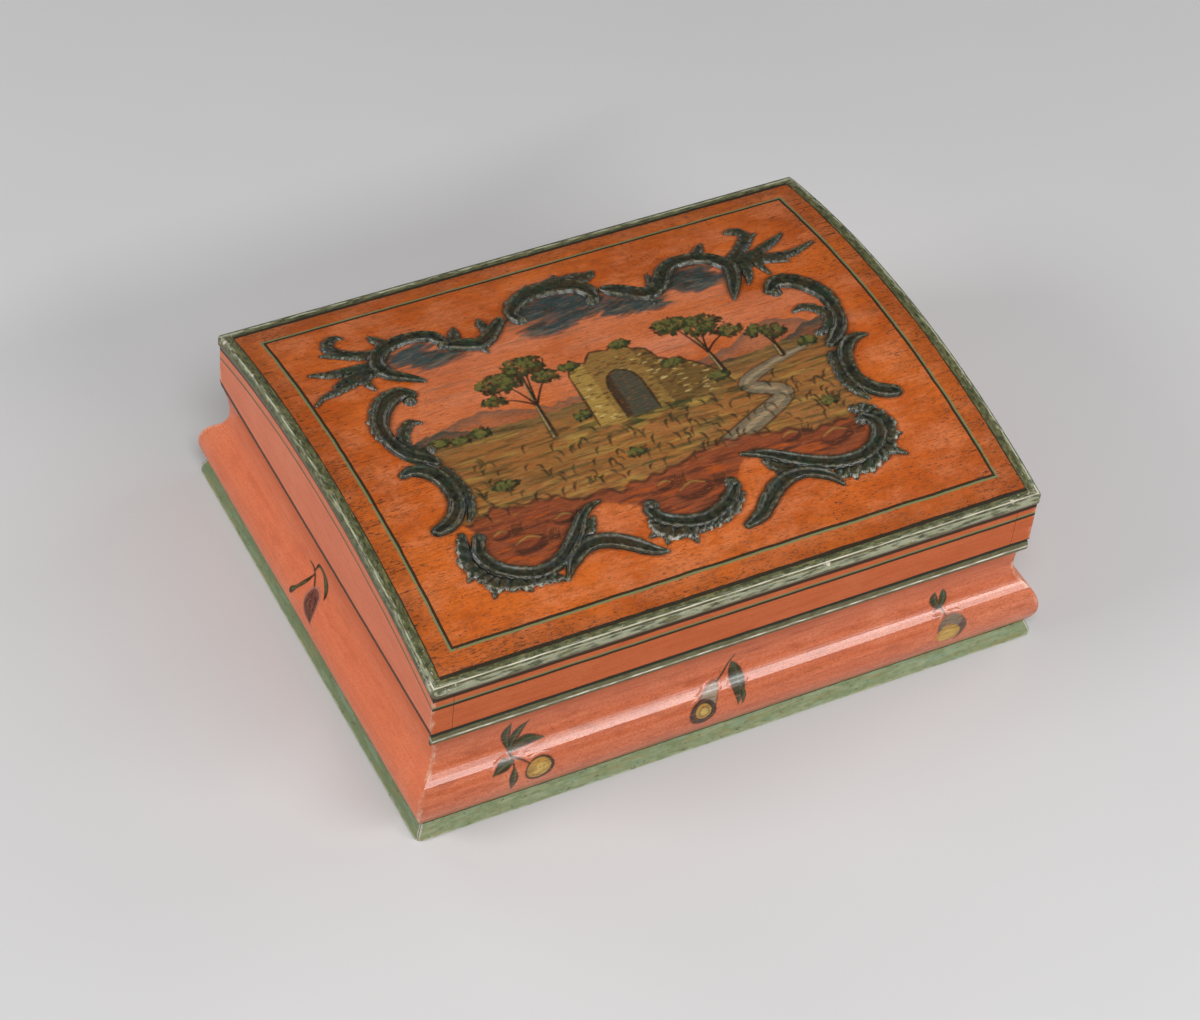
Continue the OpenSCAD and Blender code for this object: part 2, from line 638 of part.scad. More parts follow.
module hinge_lower_leaf_left() { lower_leaf(-hinge_x); }
module hinge_lower_leaf_right() { lower_leaf(hinge_x); }
module hinge_pin_left() { hinge_pin(-hinge_x); }
module hinge_pin_right() { hinge_pin(hinge_x); }

lid_stave_front();
lid_stave_middle();
lid_stave_back();
lid_edge_front();
lid_edge_back();
lid_edge_left();
lid_edge_right();
lid_rail_front();
lid_rail_back();
lid_rail_left();
lid_rail_right();
relief_crest();
relief_left_shoulder();
relief_right_shoulder();
relief_left_side();
relief_right_side();
relief_bottom_left();
relief_bottom_middle();
relief_bottom_right();
hinge_upper_leaf_left();
hinge_upper_leaf_right();
hinge_nails_upper();
base_wall_front();
base_wall_back();
base_wall_left();
base_wall_right();
front_bead();
plinth_front();
plinth_back();
plinth_left();
plinth_right();
bottom_board();
bottom_nails();
hinge_lower_leaf_left();
hinge_lower_leaf_right();
hinge_pin_left();
hinge_pin_right();
hinge_nails_lower();
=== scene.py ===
"""Looks of a lacquered wooden box with an arched lid, a scroll frame in relief and a painted landscape.

Drawing is done in millimetres in the part's own frame: +X right, front towards -Y, +Z up, floor at 0.
"""

import math
from functools import partialmethod

import bpy
import numpy as np
from mathutils import Matrix, Vector


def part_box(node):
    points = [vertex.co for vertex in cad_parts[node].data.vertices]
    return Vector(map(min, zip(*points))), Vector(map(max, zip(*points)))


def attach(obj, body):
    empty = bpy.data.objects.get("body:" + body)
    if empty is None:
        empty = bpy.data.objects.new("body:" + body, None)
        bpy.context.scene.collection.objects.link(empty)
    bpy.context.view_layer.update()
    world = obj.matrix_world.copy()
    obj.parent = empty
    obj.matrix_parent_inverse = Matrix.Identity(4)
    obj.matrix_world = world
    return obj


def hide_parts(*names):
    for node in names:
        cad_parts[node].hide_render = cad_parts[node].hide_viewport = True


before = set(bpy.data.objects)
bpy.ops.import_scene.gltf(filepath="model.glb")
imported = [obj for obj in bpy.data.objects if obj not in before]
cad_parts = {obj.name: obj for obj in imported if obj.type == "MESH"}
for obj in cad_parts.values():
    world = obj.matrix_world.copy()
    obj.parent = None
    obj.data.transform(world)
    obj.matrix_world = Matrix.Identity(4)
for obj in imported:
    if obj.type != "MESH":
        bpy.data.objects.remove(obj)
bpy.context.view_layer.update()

METRE = 1000.0
MM = 1.0 / METRE
TOUCH = 0.01


def corners(node):
    """Lowest and highest corner of a CAD node in millimetres."""
    low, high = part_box(node)
    return low * METRE, high * METRE


# Sizes, read from the CAD parts of model.glb
rail_low, rail_high = corners("lid_rail_left")
stave_high = corners("lid_stave_middle")[1]
bead_low, bead_high = corners("front_bead")
plinth_top = corners("plinth_front")[1].z
half_w = -rail_low.x
half_d = -rail_low.y
board_t = rail_high.x - rail_low.x
lid_z = rail_low.z
panel_t = stave_high.z - rail_high.z
edge_inset = half_w - stave_high.x
front_points = [v.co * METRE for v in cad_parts["lid_rail_front"].data.vertices]
rail_top_z = max(p.z for p in front_points if p.y < TOUCH - half_d)
arch_rise = rail_high.z - rail_top_z
arch_r = (half_d ** 2 + arch_rise ** 2) / (2 * arch_rise)
arch_z = rail_high.z - arch_r
panel_r = arch_r + panel_t
panel_half_w = half_w - edge_inset
panel_half_d = half_d - edge_inset

# The ogee of the base walls, as in the solids
bulge_out = -corners("base_wall_left")[0].x - half_w
bulge_z = 22.5
bulge_r = 20.98
cove_depth = 4.0
cove_z = 52.0
cove_r = 18.0
cove_top_r = 52.0
turn_z = 38.4


def arc(z, middle, radius):
    """How far an arc reaches sideways from its centre at height z."""
    return np.sqrt(np.maximum(radius ** 2 - (z - middle) ** 2, 0))


def wall_reach(z):
    """How far the outside of a base wall stands past the frame at height z."""
    bulge = bulge_out - bulge_r + arc(z, bulge_z, bulge_r)
    cove = cove_r - cove_depth - arc(z, cove_z, cove_r)
    top = cove_top_r - cove_depth - arc(z, cove_z, cove_top_r)
    return np.where(z < turn_z, bulge, np.where(z < cove_z, cove, top))


# Camera: the photograph's viewing angle
IMAGE_W = 1200
FOCAL_PX = 3563.9
SENSOR_W = 36.0
CAMERA_TURN = math.radians(-31.005)
CAMERA_RISE = math.radians(45.725)
CAMERA_ROLL = math.radians(6.04)
CAMERA_FAR = 2018.3
CAMERA_SLIDE = (-6.1, 22.7)
CLIP_END = 100


def add_object(name, data):
    added = bpy.data.objects.new(name, data)
    bpy.context.scene.collection.objects.link(added)
    return added


def make_camera():
    level = math.cos(CAMERA_RISE)
    back = Vector((math.sin(CAMERA_TURN) * level, -math.cos(CAMERA_TURN) * level, math.sin(CAMERA_RISE)))
    level_right = Vector((0, 0, 1)).cross(back).normalized()
    level_up = back.cross(level_right)
    right = math.cos(CAMERA_ROLL) * level_right + math.sin(CAMERA_ROLL) * level_up
    up = -math.sin(CAMERA_ROLL) * level_right + math.cos(CAMERA_ROLL) * level_up
    place = (back * CAMERA_FAR + right * CAMERA_SLIDE[0] + up * CAMERA_SLIDE[1]) * MM
    data = bpy.data.cameras.new("camera")
    data.sensor_fit = "HORIZONTAL"
    data.sensor_width = SENSOR_W
    data.lens = FOCAL_PX / IMAGE_W * SENSOR_W
    data.clip_end = CLIP_END
    camera = add_object("camera", data)
    camera.matrix_world = Matrix.Translation(place) @ Matrix((right, up, back)).transposed().to_4x4()
    bpy.context.scene.camera = camera


class Shader:
    """A material under construction: places are in millimetres, colour is what has been laid so far."""

    def __init__(self, name, colour=None):
        self.material = bpy.data.materials.new(name)
        self.material.use_nodes = True
        self.nodes = self.material.node_tree.nodes
        self.links = self.material.node_tree.links
        self.surface = self.nodes["Principled BSDF"]
        self.colour = colour
        place = self.node("ShaderNodeTexCoord").outputs["Object"]
        self.place = self.vector("MULTIPLY", place, (METRE, METRE, METRE))
        self.x, self.y, self.z = self.node("ShaderNodeSeparateXYZ", (self.place,)).outputs

    def put(self, socket, value):
        """Links a socket to another one, or sets its value; a colour gets full alpha."""
        if isinstance(value, bpy.types.NodeSocket):
            self.links.new(value, socket)
        else:
            socket.default_value = (*value, 1) if socket.type == "RGBA" else value

    def node(self, kind, values=(), **settings):
        node = self.nodes.new(kind)
        for name, value in settings.items():
            setattr(node, name, value)
        for socket, value in zip(node.inputs, values):
            if value is not None:
                self.put(socket, value)
        return node

    def vector(self, operation, a, b):
        return self.node("ShaderNodeVectorMath", (a, b), operation=operation).outputs[0]

    def calc(self, operation, *values):
        return self.node("ShaderNodeMath", values, operation=operation).outputs[0]

    def chain(self, operation, first, *others):
        for other in others:
            first = self.calc(operation, first, other)
        return first

    add = partialmethod(chain, "ADD")
    less = partialmethod(chain, "SUBTRACT")
    times = partialmethod(chain, "MULTIPLY")
    top = partialmethod(chain, "MAXIMUM")
    size = partialmethod(calc, "ABSOLUTE")
    turned = partialmethod(calc, "SUBTRACT", 1.0)

    def total(self, *parts):
        """Sum of values, each times its factor."""
        return self.add(*[self.times(value, factor) for value, factor in parts])

    def between(self, start, end, share):
        """Start where the share is 0, end where it is 1."""
        return self.calc("MULTIPLY_ADD", share, end - start, start)

    def ramp(self, value, none, full):
        """0 where the value is at none or beyond, 1 at full or beyond, smooth between."""
        node = self.node("ShaderNodeMapRange", (value, none, full), interpolation_type="SMOOTHSTEP")
        return node.outputs[0]

    def strip(self, value, middle, half, soft=0.12):
        """1 within half of middle, 0 outside."""
        return self.ramp(self.size(self.less(value, middle)), half + soft, half - soft)

    def texture(self, vector, detail, rough, shift):
        vector = self.vector("ADD", vector, (shift, shift, shift))
        return self.node("ShaderNodeTexNoise", (vector, None, 1.0, detail, rough)).outputs[0]

    def noise(self, features, detail=3.0, rough=0.55, shift=0.0):
        """Noise with that many features for a millimetre, the same or different along X, Y and Z."""
        scale = features if isinstance(features, tuple) else (features, features, features)
        return self.texture(self.vector("MULTIPLY", self.place, scale), detail, rough, shift)

    def spots(self, features, none, full, **settings):
        """Noise made into patches."""
        return self.ramp(self.noise(features, **settings), none, full)

    def uneven(self, reach, features, **settings):
        """Noise about zero, of that reach."""
        return self.times(self.less(self.noise(features, **settings), 0.5), reach)

    def run_noise(self, along, across, detail=5.0, shift=0.0):
        """Noise drawn out along a moulding that follows the sides of the box."""
        side = self.on_side(soft=1.0)
        front = self.turned(side)
        run = self.total((self.x, front), (self.y, side))
        over = self.total((self.y, front), (self.x, side))
        parts = (self.times(run, along), self.times(over, across), self.times(self.z, across))
        return self.texture(self.node("ShaderNodeCombineXYZ", parts).outputs[0], detail, 0.5, shift)

    def run_spots(self, along, across, none, full, **settings):
        return self.ramp(self.run_noise(along, across, **settings), none, full)

    def outside(self, half_x, half_y):
        """How far a place lies outside a rectangle in plan, below zero inside it."""
        return self.top(self.less(self.size(self.x), half_x), self.less(self.size(self.y), half_y))

    def past_mitre(self):
        """Over zero on the left and right of the box, below on its front and back."""
        return self.less(self.less(self.size(self.x), half_w), self.less(self.size(self.y), half_d))

    def on_side(self, soft=0.2):
        return self.ramp(self.past_mitre(), -soft, soft)

    def on_lid(self):
        return self.ramp(self.z, lid_z - 0.1, lid_z)

    def rise(self):
        """Height over the arch of the lid frame."""
        up = self.less(self.z, arch_z)
        return self.less(self.calc("SQRT", self.total((self.y, self.y), (up, up))), arch_r)

    def attribute(self, name, output="Fac"):
        return self.node("ShaderNodeAttribute", attribute_name=name).outputs[output]

    def mix(self, share, a, b):
        """Colour a with a share of colour b; the node's colour sockets come after its other ones."""
        values = (share, None, None, None, None, None, a, b)
        return self.node("ShaderNodeMix", values, data_type="RGBA").outputs[2]

    def lay(self, tint, *shares):
        """Lays a tint over the colour, by the product of its shares."""
        self.colour = self.mix(self.times(*shares), self.colour, tint)

    def finish(self, roughness, height=None, **gloss):
        """Ties everything to the surface; height is in millimetres, gloss is the same all over."""
        self.put(self.surface.inputs["Base Color"], self.colour)
        self.put(self.surface.inputs["Roughness"], roughness)
        if height is not None:
            bump = self.node("ShaderNodeBump")
            bump.inputs["Strength"].default_value = 1.0
            bump.inputs["Distance"].default_value = MM
            self.put(bump.inputs["Height"], height)
            self.put(self.surface.inputs["Normal"], bump.outputs[0])
        for name, value in gloss.items():
            self.surface.inputs[name].default_value = value
        return self.material


# Colours, linear, and gloss
ORANGE = (0.59, 0.126, 0.015)
PALE_ORANGE = (0.67, 0.210, 0.082)
DEEP_ORANGE = (0.46, 0.082, 0.007)
PATINA = (0.25, 0.055, 0.004)
DIRT = (0.026, 0.011, 0.004)
SALMON = (0.60, 0.156, 0.063)
DEEP_SALMON = (0.47, 0.098, 0.034)
PALE_SALMON = (0.68, 0.225, 0.112)
LIT_SIDE_SALMON = (0.76, 0.215, 0.110)
SHADED_FRIEZE = (0.43, 0.088, 0.018)
WALL_STAIN = (0.34, 0.066, 0.018)
WALL_DASH = (0.15, 0.035, 0.012)
WALL_SPECK = (0.30, 0.058, 0.018)
WALL_SCRATCH = (0.16, 0.040, 0.015)
WALL_DARK_ZONE = (0.30, 0.060, 0.014)
MITRE_CRACK = (0.16, 0.05, 0.03)
STRIPE_GREEN = (0.150, 0.190, 0.080)
STRIPE_DARK = (0.009, 0.013, 0.006)
CHALK = (0.62, 0.56, 0.46)
PINK_CHALK = (0.68, 0.42, 0.30)
CREAM_HIGHLIGHT = (0.74, 0.69, 0.56)
WOOD = (0.36, 0.19, 0.085)
DARK_WOOD = (0.19, 0.092, 0.038)
WOOD_PORE = (0.06, 0.028, 0.013)
OLIVE = (0.112, 0.118, 0.050)
DARK_OLIVE = (0.042, 0.047, 0.016)
BLACK_OLIVE = (0.024, 0.026, 0.010)
BROWN_OLIVE = (0.085, 0.062, 0.020)
YELLOW_OLIVE = (0.24, 0.20, 0.065)
SAGE = (0.22, 0.260, 0.130)
DARK_SAGE = (0.100, 0.145, 0.052)
MID_SAGE = (0.150, 0.195, 0.085)
BLUE_SAGE = (0.200, 0.300, 0.190)
PALE_GREEN = (0.44, 0.45, 0.31)
GESSO_BLACK = (0.009, 0.010, 0.005)
GESSO_GREY = (0.032, 0.034, 0.018)
GESSO_GREEN = (0.016, 0.034, 0.017)
GESSO_BLUE = (0.032, 0.043, 0.046)
GESSO_GILT = (0.082, 0.056, 0.016)
GESSO_BROWN = (0.046, 0.028, 0.010)
GESSO_WORN = (0.16, 0.15, 0.085)
GESSO_HOLLOW = (0.005, 0.006, 0.004)
GESSO_CHALK_HIGHLIGHT = (0.42, 0.41, 0.33)
BRASS = (0.62, 0.42, 0.16)
BRASS_TARNISH = (0.16, 0.09, 0.035)
IRON = (0.20, 0.19, 0.18)
IRON_RUST = (0.07, 0.035, 0.02)
RED_GLOSS = {"Specular IOR Level": 0.42}
SALMON_GLOSS = {"Specular IOR Level": 0.26, "Coat Weight": 0.55, "Coat Roughness": 0.21}
SALMON_MATT = {"Specular IOR Level": 0.13}
GREEN_GLOSS = {"Coat Weight": 0.2, "Coat Roughness": 0.18}
GESSO_GLOSS = {"Coat Weight": 0.1, "Coat Roughness": 0.12}
BARE_ROUGHER = 0.3

# Half sides of the lid's pinstripe rectangle
STRIPE_X = 162.0
STRIPE_Y = 122.0


# Materials; s is the Shader at work
def wood_colour(s, along_y=False):
    """Plain aged wood, with its grain along X or Y."""
    def grain(along, across, none, full, **settings):
        features = (across, along, across) if along_y else (along, across, across)
        return s.spots(features, none, full, **settings)

    colour = s.mix(grain(0.003, 0.10, 0.30, 0.70, shift=61), DARK_WOOD, WOOD)
    colour = s.mix(s.times(grain(0.007, 0.8, 0.48, 0.70, detail=5), 0.45), colour, DARK_WOOD)
    return s.mix(s.times(grain(0.03, 2.4, 0.58, 0.72, detail=2), 0.45), colour, WOOD_PORE)


def lay_over_wood(s, lacquered, wood, roughness):
    """Leaves the colour only on the lacquered share; returns the roughness, with bare wood rougher."""
    s.colour = s.mix(lacquered, wood, s.colour)
    return s.add(roughness, s.between(BARE_ROUGHER, 0.0, lacquered))


def red_lacquer(s):
    """Lays the lid's red lacquer; returns its roughness and height."""
    cloud = s.noise(0.022, detail=4)
    grain = s.noise((0.035, 0.75, 0.75), detail=6, shift=3)
    s.colour = ORANGE
    s.lay(DEEP_ORANGE, s.ramp(cloud, 0.38, 0.64))
    s.lay(PALE_ORANGE, 0.6, s.spots((0.035, 0.055, 0.055), 0.42, 0.66, detail=6, rough=0.65, shift=21))
    s.lay(PATINA, 0.4, s.ramp(grain, 0.44, 0.76))
    s.lay(PATINA, 0.45, s.spots((0.16, 0.30, 0.30), 0.48, 0.66, detail=6, rough=0.7, shift=26))
    s.lay(PATINA, 0.45, s.spots((0.40, 1.0, 1.0), 0.48, 0.68, detail=5, rough=0.65, shift=51))
    # Brown patina towards the border
    edge = s.outside(panel_half_w, panel_half_d)
    patina = s.ramp(s.add(edge, s.uneven(48.0, (0.05, 0.09, 0.09), detail=5, shift=9)), -26.0, 6.0)
    s.lay(PATINA, 0.55, patina)
    # Short dark dashes along the grain and clusters of specks, thicker where the lacquer is most worn
    dense = s.total((s.noise((0.018, 0.03, 0.03), shift=5), 0.20), (patina, 0.05))
    dash = s.ramp(s.add(s.noise((0.30, 1.7, 1.7), rough=0.6), dense), 0.70, 0.76)
    cluster = s.top(patina, s.spots(0.035, 0.52, 0.66, detail=4, shift=31))
    specks = s.add(s.noise((0.65, 0.85, 0.85), detail=4, shift=2), s.times(cluster, 0.08))
    dark = s.top(s.times(dash, 0.75), s.ramp(specks, 0.68, 0.74))
    s.lay(DIRT, 0.85, dark)
    # Drying cracks near both ends
    crack_line = s.size(s.uneven(1.0, (0.012, 0.16, 0.16), shift=7))
    crack_zone = s.ramp(s.add(s.size(s.x), s.times(s.noise(0.05, shift=4), 30.0)), 150.0, 172.0)
    crack = s.times(s.ramp(crack_line, 0.006, 0.001), crack_zone)
    s.lay(DIRT, 0.8, crack)
    # Pinstripe rectangle, light green outside and dark inside, and a dark line along the edge moulding
    wobble = s.uneven(1.3, 0.06, detail=4, shift=1)
    line = s.add(s.outside(STRIPE_X, STRIPE_Y), wobble)
    worn = s.spots(0.35, 0.72, 0.55, detail=4, shift=6)
    s.lay(STRIPE_GREEN, 0.92, s.strip(line, middle=0.62, half=0.70), worn)
    s.lay(STRIPE_DARK, 0.94, s.strip(line, middle=-0.72, half=0.76))
    s.lay(STRIPE_DARK, 0.95, s.ramp(s.add(edge, wobble), -0.7, -0.3))
    roughness = s.between(0.30, 0.50, s.noise((0.08, 0.3, 0.3), detail=4))
    return roughness, s.total((grain, 0.05), (cloud, 0.35), (s.top(dark, crack), -0.05))


def make_red_lacquer():
    s = Shader("red_lacquer")
    roughness, height = red_lacquer(s)
    outside = s.ramp(s.rise(), panel_t - 0.5, panel_t - 0.3)
    roughness = lay_over_wood(s, outside, wood_colour(s), roughness)
    return s.finish(roughness, height, **RED_GLOSS)


def salmon_lacquer(s):
    """Lays the lacquer of the rails and walls; returns its roughness and height."""
    cloud = s.noise(0.03, detail=4, shift=8)
    fine = s.noise((0.25, 0.25, 1.4), detail=4, shift=6)
    s.colour = SALMON
    s.lay(DEEP_SALMON, 0.75, s.spots((0.02, 0.02, 0.45), 0.36, 0.70, detail=6))
    s.lay(PALE_SALMON, 0.55, s.ramp(cloud, 0.48, 0.72))
    s.lay(DEEP_SALMON, 0.35, s.ramp(fine, 0.50, 0.72))
    s.lay(WALL_STAIN, 0.55, s.spots((0.05, 0.05, 0.22), 0.50, 0.68, detail=6, rough=0.65, shift=12))
    s.lay(WALL_DASH, 0.55, s.spots((0.22, 0.22, 0.8), 0.60, 0.70, detail=5, rough=0.65, shift=3))
    s.lay(WALL_SPECK, 0.6, s.spots((0.8, 0.8, 1.5), 0.48, 0.62, detail=4, rough=0.7, shift=71))
    s.lay(WALL_SCRATCH, 0.55, s.spots((0.012, 0.012, 1.6), 0.68, 0.73, detail=2, shift=81))
    # Darker over the plinth and under the lid line
    low_z = s.add(s.z, s.times(s.noise(0.08, detail=5, shift=41), 14.0))
    high_z = s.add(s.z, s.times(s.noise(0.06, detail=5, shift=43), 16.0))
    under_lid_dark = s.times(s.ramp(high_z, bead_low.z - 4.0, bead_low.z + 10.0), s.turned(s.on_lid()))
    s.lay(WALL_DARK_ZONE, 0.5, s.top(s.ramp(low_z, plinth_top + 13.0, plinth_top + 5.0), under_lid_dark))
    # Painted light and shade: paler left and right sides, a darker, redder frieze on the front and back
    on_side = s.on_side()
    s.lay(LIT_SIDE_SALMON, 0.40, on_side)
    s.lay(SHADED_FRIEZE, 0.55, s.turned(on_side), s.ramp(s.z, bead_low.z - 20.0, lid_z))
    roughness = s.between(0.27, 0.41, s.noise((0.06, 0.06, 0.2), detail=4, shift=2))
    grit = s.noise(1.3, shift=24)
    grain = s.noise((0.30, 0.30, 0.55), detail=4, shift=33)
    pits = s.spots((0.9, 0.9, 1.6), 0.62, 0.72, shift=57)
    return roughness, s.total((cloud, 0.22), (fine, 0.03), (grit, 0.06), (grain, 0.07), (pits, -0.05))


def make_salmon_lacquer(name, gloss):
    """The lacquer of the rails and walls with its worn corners and painted lines, bare wood inside."""
    s = Shader(name)
    roughness, height = salmon_lacquer(s)
    out = s.outside(half_w, half_d)
    on_side = s.on_side()
    on_front = s.turned(on_side)
    on_lid = s.on_lid()
    # Chalky scratches and cracks along the mitred corners
    off = s.size(s.past_mitre())
    ragged = s.add(off, s.uneven(8.0, 0.45, detail=5, shift=2))
    s.lay(PINK_CHALK, 0.6, s.ramp(ragged, 2.6, 0.2), s.spots(0.12, 0.42, 0.58, detail=4, shift=17))
    s.lay(MITRE_CRACK, 0.35, s.ramp(off, 0.22, 0.05))
    # Frieze line at an even depth under the arch: light green over dark, wider on front and back
    wobble = s.uneven(0.9, 0.05, detail=4, shift=1)
    line = s.add(s.rise(), wobble)
    half = s.between(0.38, 0.78, on_front)
    green = s.ramp(s.size(s.add(line, 8.0)), s.add(half, 0.12), s.less(half, 0.12))
    dark = s.ramp(s.size(s.add(line, 9.2)), s.add(half, 0.2), s.less(half, 0.1))
    s.lay(STRIPE_GREEN, 0.9, green, on_lid)
    s.lay(STRIPE_DARK, 0.95, dark, on_lid)
    # Cracked joint between the side rails and the front and back rails
    joint = s.add(s.size(s.x), s.uneven(0.6, 0.2, shift=5))
    s.lay(DIRT, 0.8, s.strip(joint, middle=half_w - board_t, half=0.16, soft=0.1), on_lid, on_front)
    # Dark lines under the moulding, at the lid line and beside the bead and the plinth
    under_edge = s.between(-3.4, -4.0, on_front)
    under = s.times(s.ramp(line, under_edge, s.add(under_edge, 0.4)), on_lid)
    low_line = s.add(s.z, wobble)
    lid_line = s.between(lid_z + 2.8, lid_z + 1.0, on_front)
    at_lid = s.times(s.ramp(low_line, lid_line, s.less(lid_line, 0.4)), on_lid)
    at_top = s.times(s.ramp(low_line, lid_z - 1.2, lid_z - 0.8), on_side, s.turned(on_lid))
    near_front = s.ramp(s.y, 20.0 - half_d, 10.0 - half_d)
    at_bead = s.times(s.strip(low_line, middle=bead_low.z - 0.4, half=0.85), on_front, near_front)
    at_plinth = s.ramp(low_line, plinth_top + 1.0, plinth_top + 0.6)
    s.lay(STRIPE_DARK, 0.92, s.top(under, at_lid, at_top, at_bead, at_plinth))
    # Bare wood inside
    top_face = s.times(s.ramp(s.size(s.less(s.z, lid_z)), 0.4, 0.31), s.ramp(out, -0.4, -0.8))
    lacquered = s.times(s.ramp(out, -8.5, -8.0), s.turned(top_face))
    wood = s.mix(on_front, wood_colour(s, along_y=True), wood_colour(s))
    return s.finish(lay_over_wood(s, lacquered, wood, roughness), height, **gloss)


def green_paint(name, light, dark):
    """A new material with mottled green paint laid."""
    s = Shader(name, dark)
    s.lay(light, s.run_spots(0.20, 0.42, 0.30, 0.66, detail=6.0))
    s.lay(dark, 0.4, s.spots(0.9, 0.54, 0.72, detail=4, shift=4))
    return s


def green_finish(s):
    roughness = s.between(0.34, 0.58, s.noise(0.2, detail=4, shift=5))
    height = s.total((s.noise(0.16, detail=4, shift=2), 0.40), (s.noise(0.8, shift=3), 0.08))
    return s.finish(roughness, height, **GREEN_GLOSS)


# Places of chips on the edge moulding: x, y, half width
EDGE_CHIPS = [(48, -140.6, 1.8), (163, -139.5, 1.1), (-180, 134, 1.2), (-179.5, 96, 1.0)]
CHIP_RISE = 6.5


def make_green_edge():
    s = green_paint("green_edge", OLIVE, DARK_OLIVE)
    out = s.outside(half_w, half_d)
    s.lay(YELLOW_OLIVE, 0.45, s.run_spots(0.18, 0.5, 0.50, 0.66, shift=14))
    s.lay(BLACK_OLIVE, 0.6, s.run_spots(0.30, 0.55, 0.50, 0.62, shift=31))
    # Pale wear along the crown and round the corners
    to_corner = s.less(s.add(s.size(s.x), s.size(s.y)), half_w + half_d)
    corner = s.times(s.ramp(to_corner, -26.0, -4.0), 0.08)
    streak = s.ramp(s.add(s.run_noise(0.15, 0.9, shift=6), corner), 0.47, 0.66)
    s.lay(PALE_GREEN, 0.6, s.strip(out, middle=-0.6, half=1.3, soft=0.8), streak)
    ridge = s.strip(s.add(out, s.uneven(0.8, 0.05, shift=15)), middle=-0.4, half=0.4, soft=0.3)
    s.lay(PALE_GREEN, ridge, s.run_spots(0.08, 0.4, 0.38, 0.58, shift=18))
    # On the front a painted highlight: a cream line along the crown, broken in patches; brown rubbed through
    # just below it
    at_front = s.ramp(s.y, 8.0 - half_d, 4.0 - half_d)
    crown = s.strip(s.add(out, s.uneven(0.8, 0.04, shift=15)), middle=-0.4, half=0.34, soft=0.2)
    s.lay(CREAM_HIGHLIGHT, crown, s.between(0.45, 0.95, s.run_spots(0.06, 0.4, 0.40, 0.60, shift=47)), at_front)
    rubbed = s.strip(out, middle=0.62, half=0.42, soft=0.3)
    s.lay(BROWN_OLIVE, 0.75, rubbed, s.run_spots(0.10, 0.7, 0.42, 0.58, shift=49), at_front)
    s.lay(PALE_GREEN, 0.55, s.ramp(out, 0.9, 1.3), s.run_spots(0.12, 0.6, 0.36, 0.58, shift=52), at_front)
    s.lay(CHALK, 0.55, s.ramp(s.add(s.noise(0.8, detail=4, shift=11), corner), 0.66, 0.71))
    for x, y, half in EDGE_CHIPS:
        high = arch_z + math.sqrt(arch_r ** 2 - y ** 2) + CHIP_RISE
        off = s.node("ShaderNodeVectorMath", (s.place, (x, y, high)), operation="DISTANCE").outputs["Value"]
        ragged = s.add(off, s.times(s.noise(0.5, detail=5, shift=x), 5.0))
        s.lay(CHALK, 0.85, s.ramp(ragged, half + 2.6, half + 2.0))
    # Brown underside, black line below, dark line at the panel
    rise = s.rise()
    s.lay(BROWN_OLIVE, 0.85, s.ramp(rise, 4.4, 3.2))
    s.lay(STRIPE_DARK, 0.9, s.ramp(rise, 1.7, 1.3))
    s.lay(STRIPE_DARK, 0.95, s.ramp(s.add(out, s.times(s.noise(0.1, shift=8), 0.8)), -4.9, -5.2))
    return green_finish(s)


def make_green_bead():
    s = green_paint("green_bead", OLIVE, BROWN_OLIVE)
    middle = (bead_low.z + bead_high.z) / 2
    # A painted highlight: a cream line along the middle of the bead, broken in patches
    line = s.less(s.add(s.z, s.uneven(1.0, 0.05, detail=4, shift=3)), middle)
    worn = s.between(0.3, 0.95, s.run_spots(0.10, 0.4, 0.40, 0.62, shift=8))
    s.lay(CREAM_HIGHLIGHT, s.strip(line, middle=0.4, half=0.5, soft=0.35), worn)
    rims = s.ramp(s.size(line), 2.8, 3.2)
    s.lay(STRIPE_DARK, 0.95, rims)
    return s.finish(s.between(0.36, 0.86, rims), s.times(s.noise(0.12, detail=4, shift=2), 0.2))


def make_green_plinth():
    s = green_paint("green_plinth", SAGE, MID_SAGE)
    on_side = s.on_side()
    rubbed = s.run_spots(0.09, 0.6, 0.44, 0.70, detail=6.0, shift=13)
    s.lay(PALE_GREEN, s.between(0.3, 0.1, on_side), rubbed)
    s.lay(DARK_SAGE, 0.65, on_side)
    s.lay(BLUE_SAGE, 0.5, s.run_spots(0.06, 0.35, 0.50, 0.64, shift=41))
    s.lay(YELLOW_OLIVE, 0.5, s.run_spots(0.08, 0.5, 0.52, 0.64, shift=44))
    # Worn foot, grime, dark line under the wall and rubbed mitres
    ragged = s.add(s.z, s.uneven(2.4, (0.16, 0.16, 0.4), detail=6, shift=7))
    s.lay(PALE_GREEN, 0.7, s.ramp(ragged, s.between(1.7, 2.2, on_side), 0.9))
    s.lay(DARK_OLIVE, 0.6, s.spots((0.3, 0.3, 0.6), 0.58, 0.68, detail=5, rough=0.6, shift=23))
    high_z = s.add(s.z, s.times(s.noise(0.1, shift=2), 0.6))
    s.lay(STRIPE_DARK, 0.9, s.ramp(high_z, plinth_top - 0.9, plinth_top - 0.5))
    off = s.size(s.past_mitre())
    s.lay(CHALK, 0.6, s.ramp(s.add(off, s.times(s.noise(0.5, detail=4, shift=29), 3.0)), 3.2, 2.2))
    s.lay(STRIPE_DARK, 0.9, s.ramp(off, 0.45, 0.15))
    return green_finish(s)


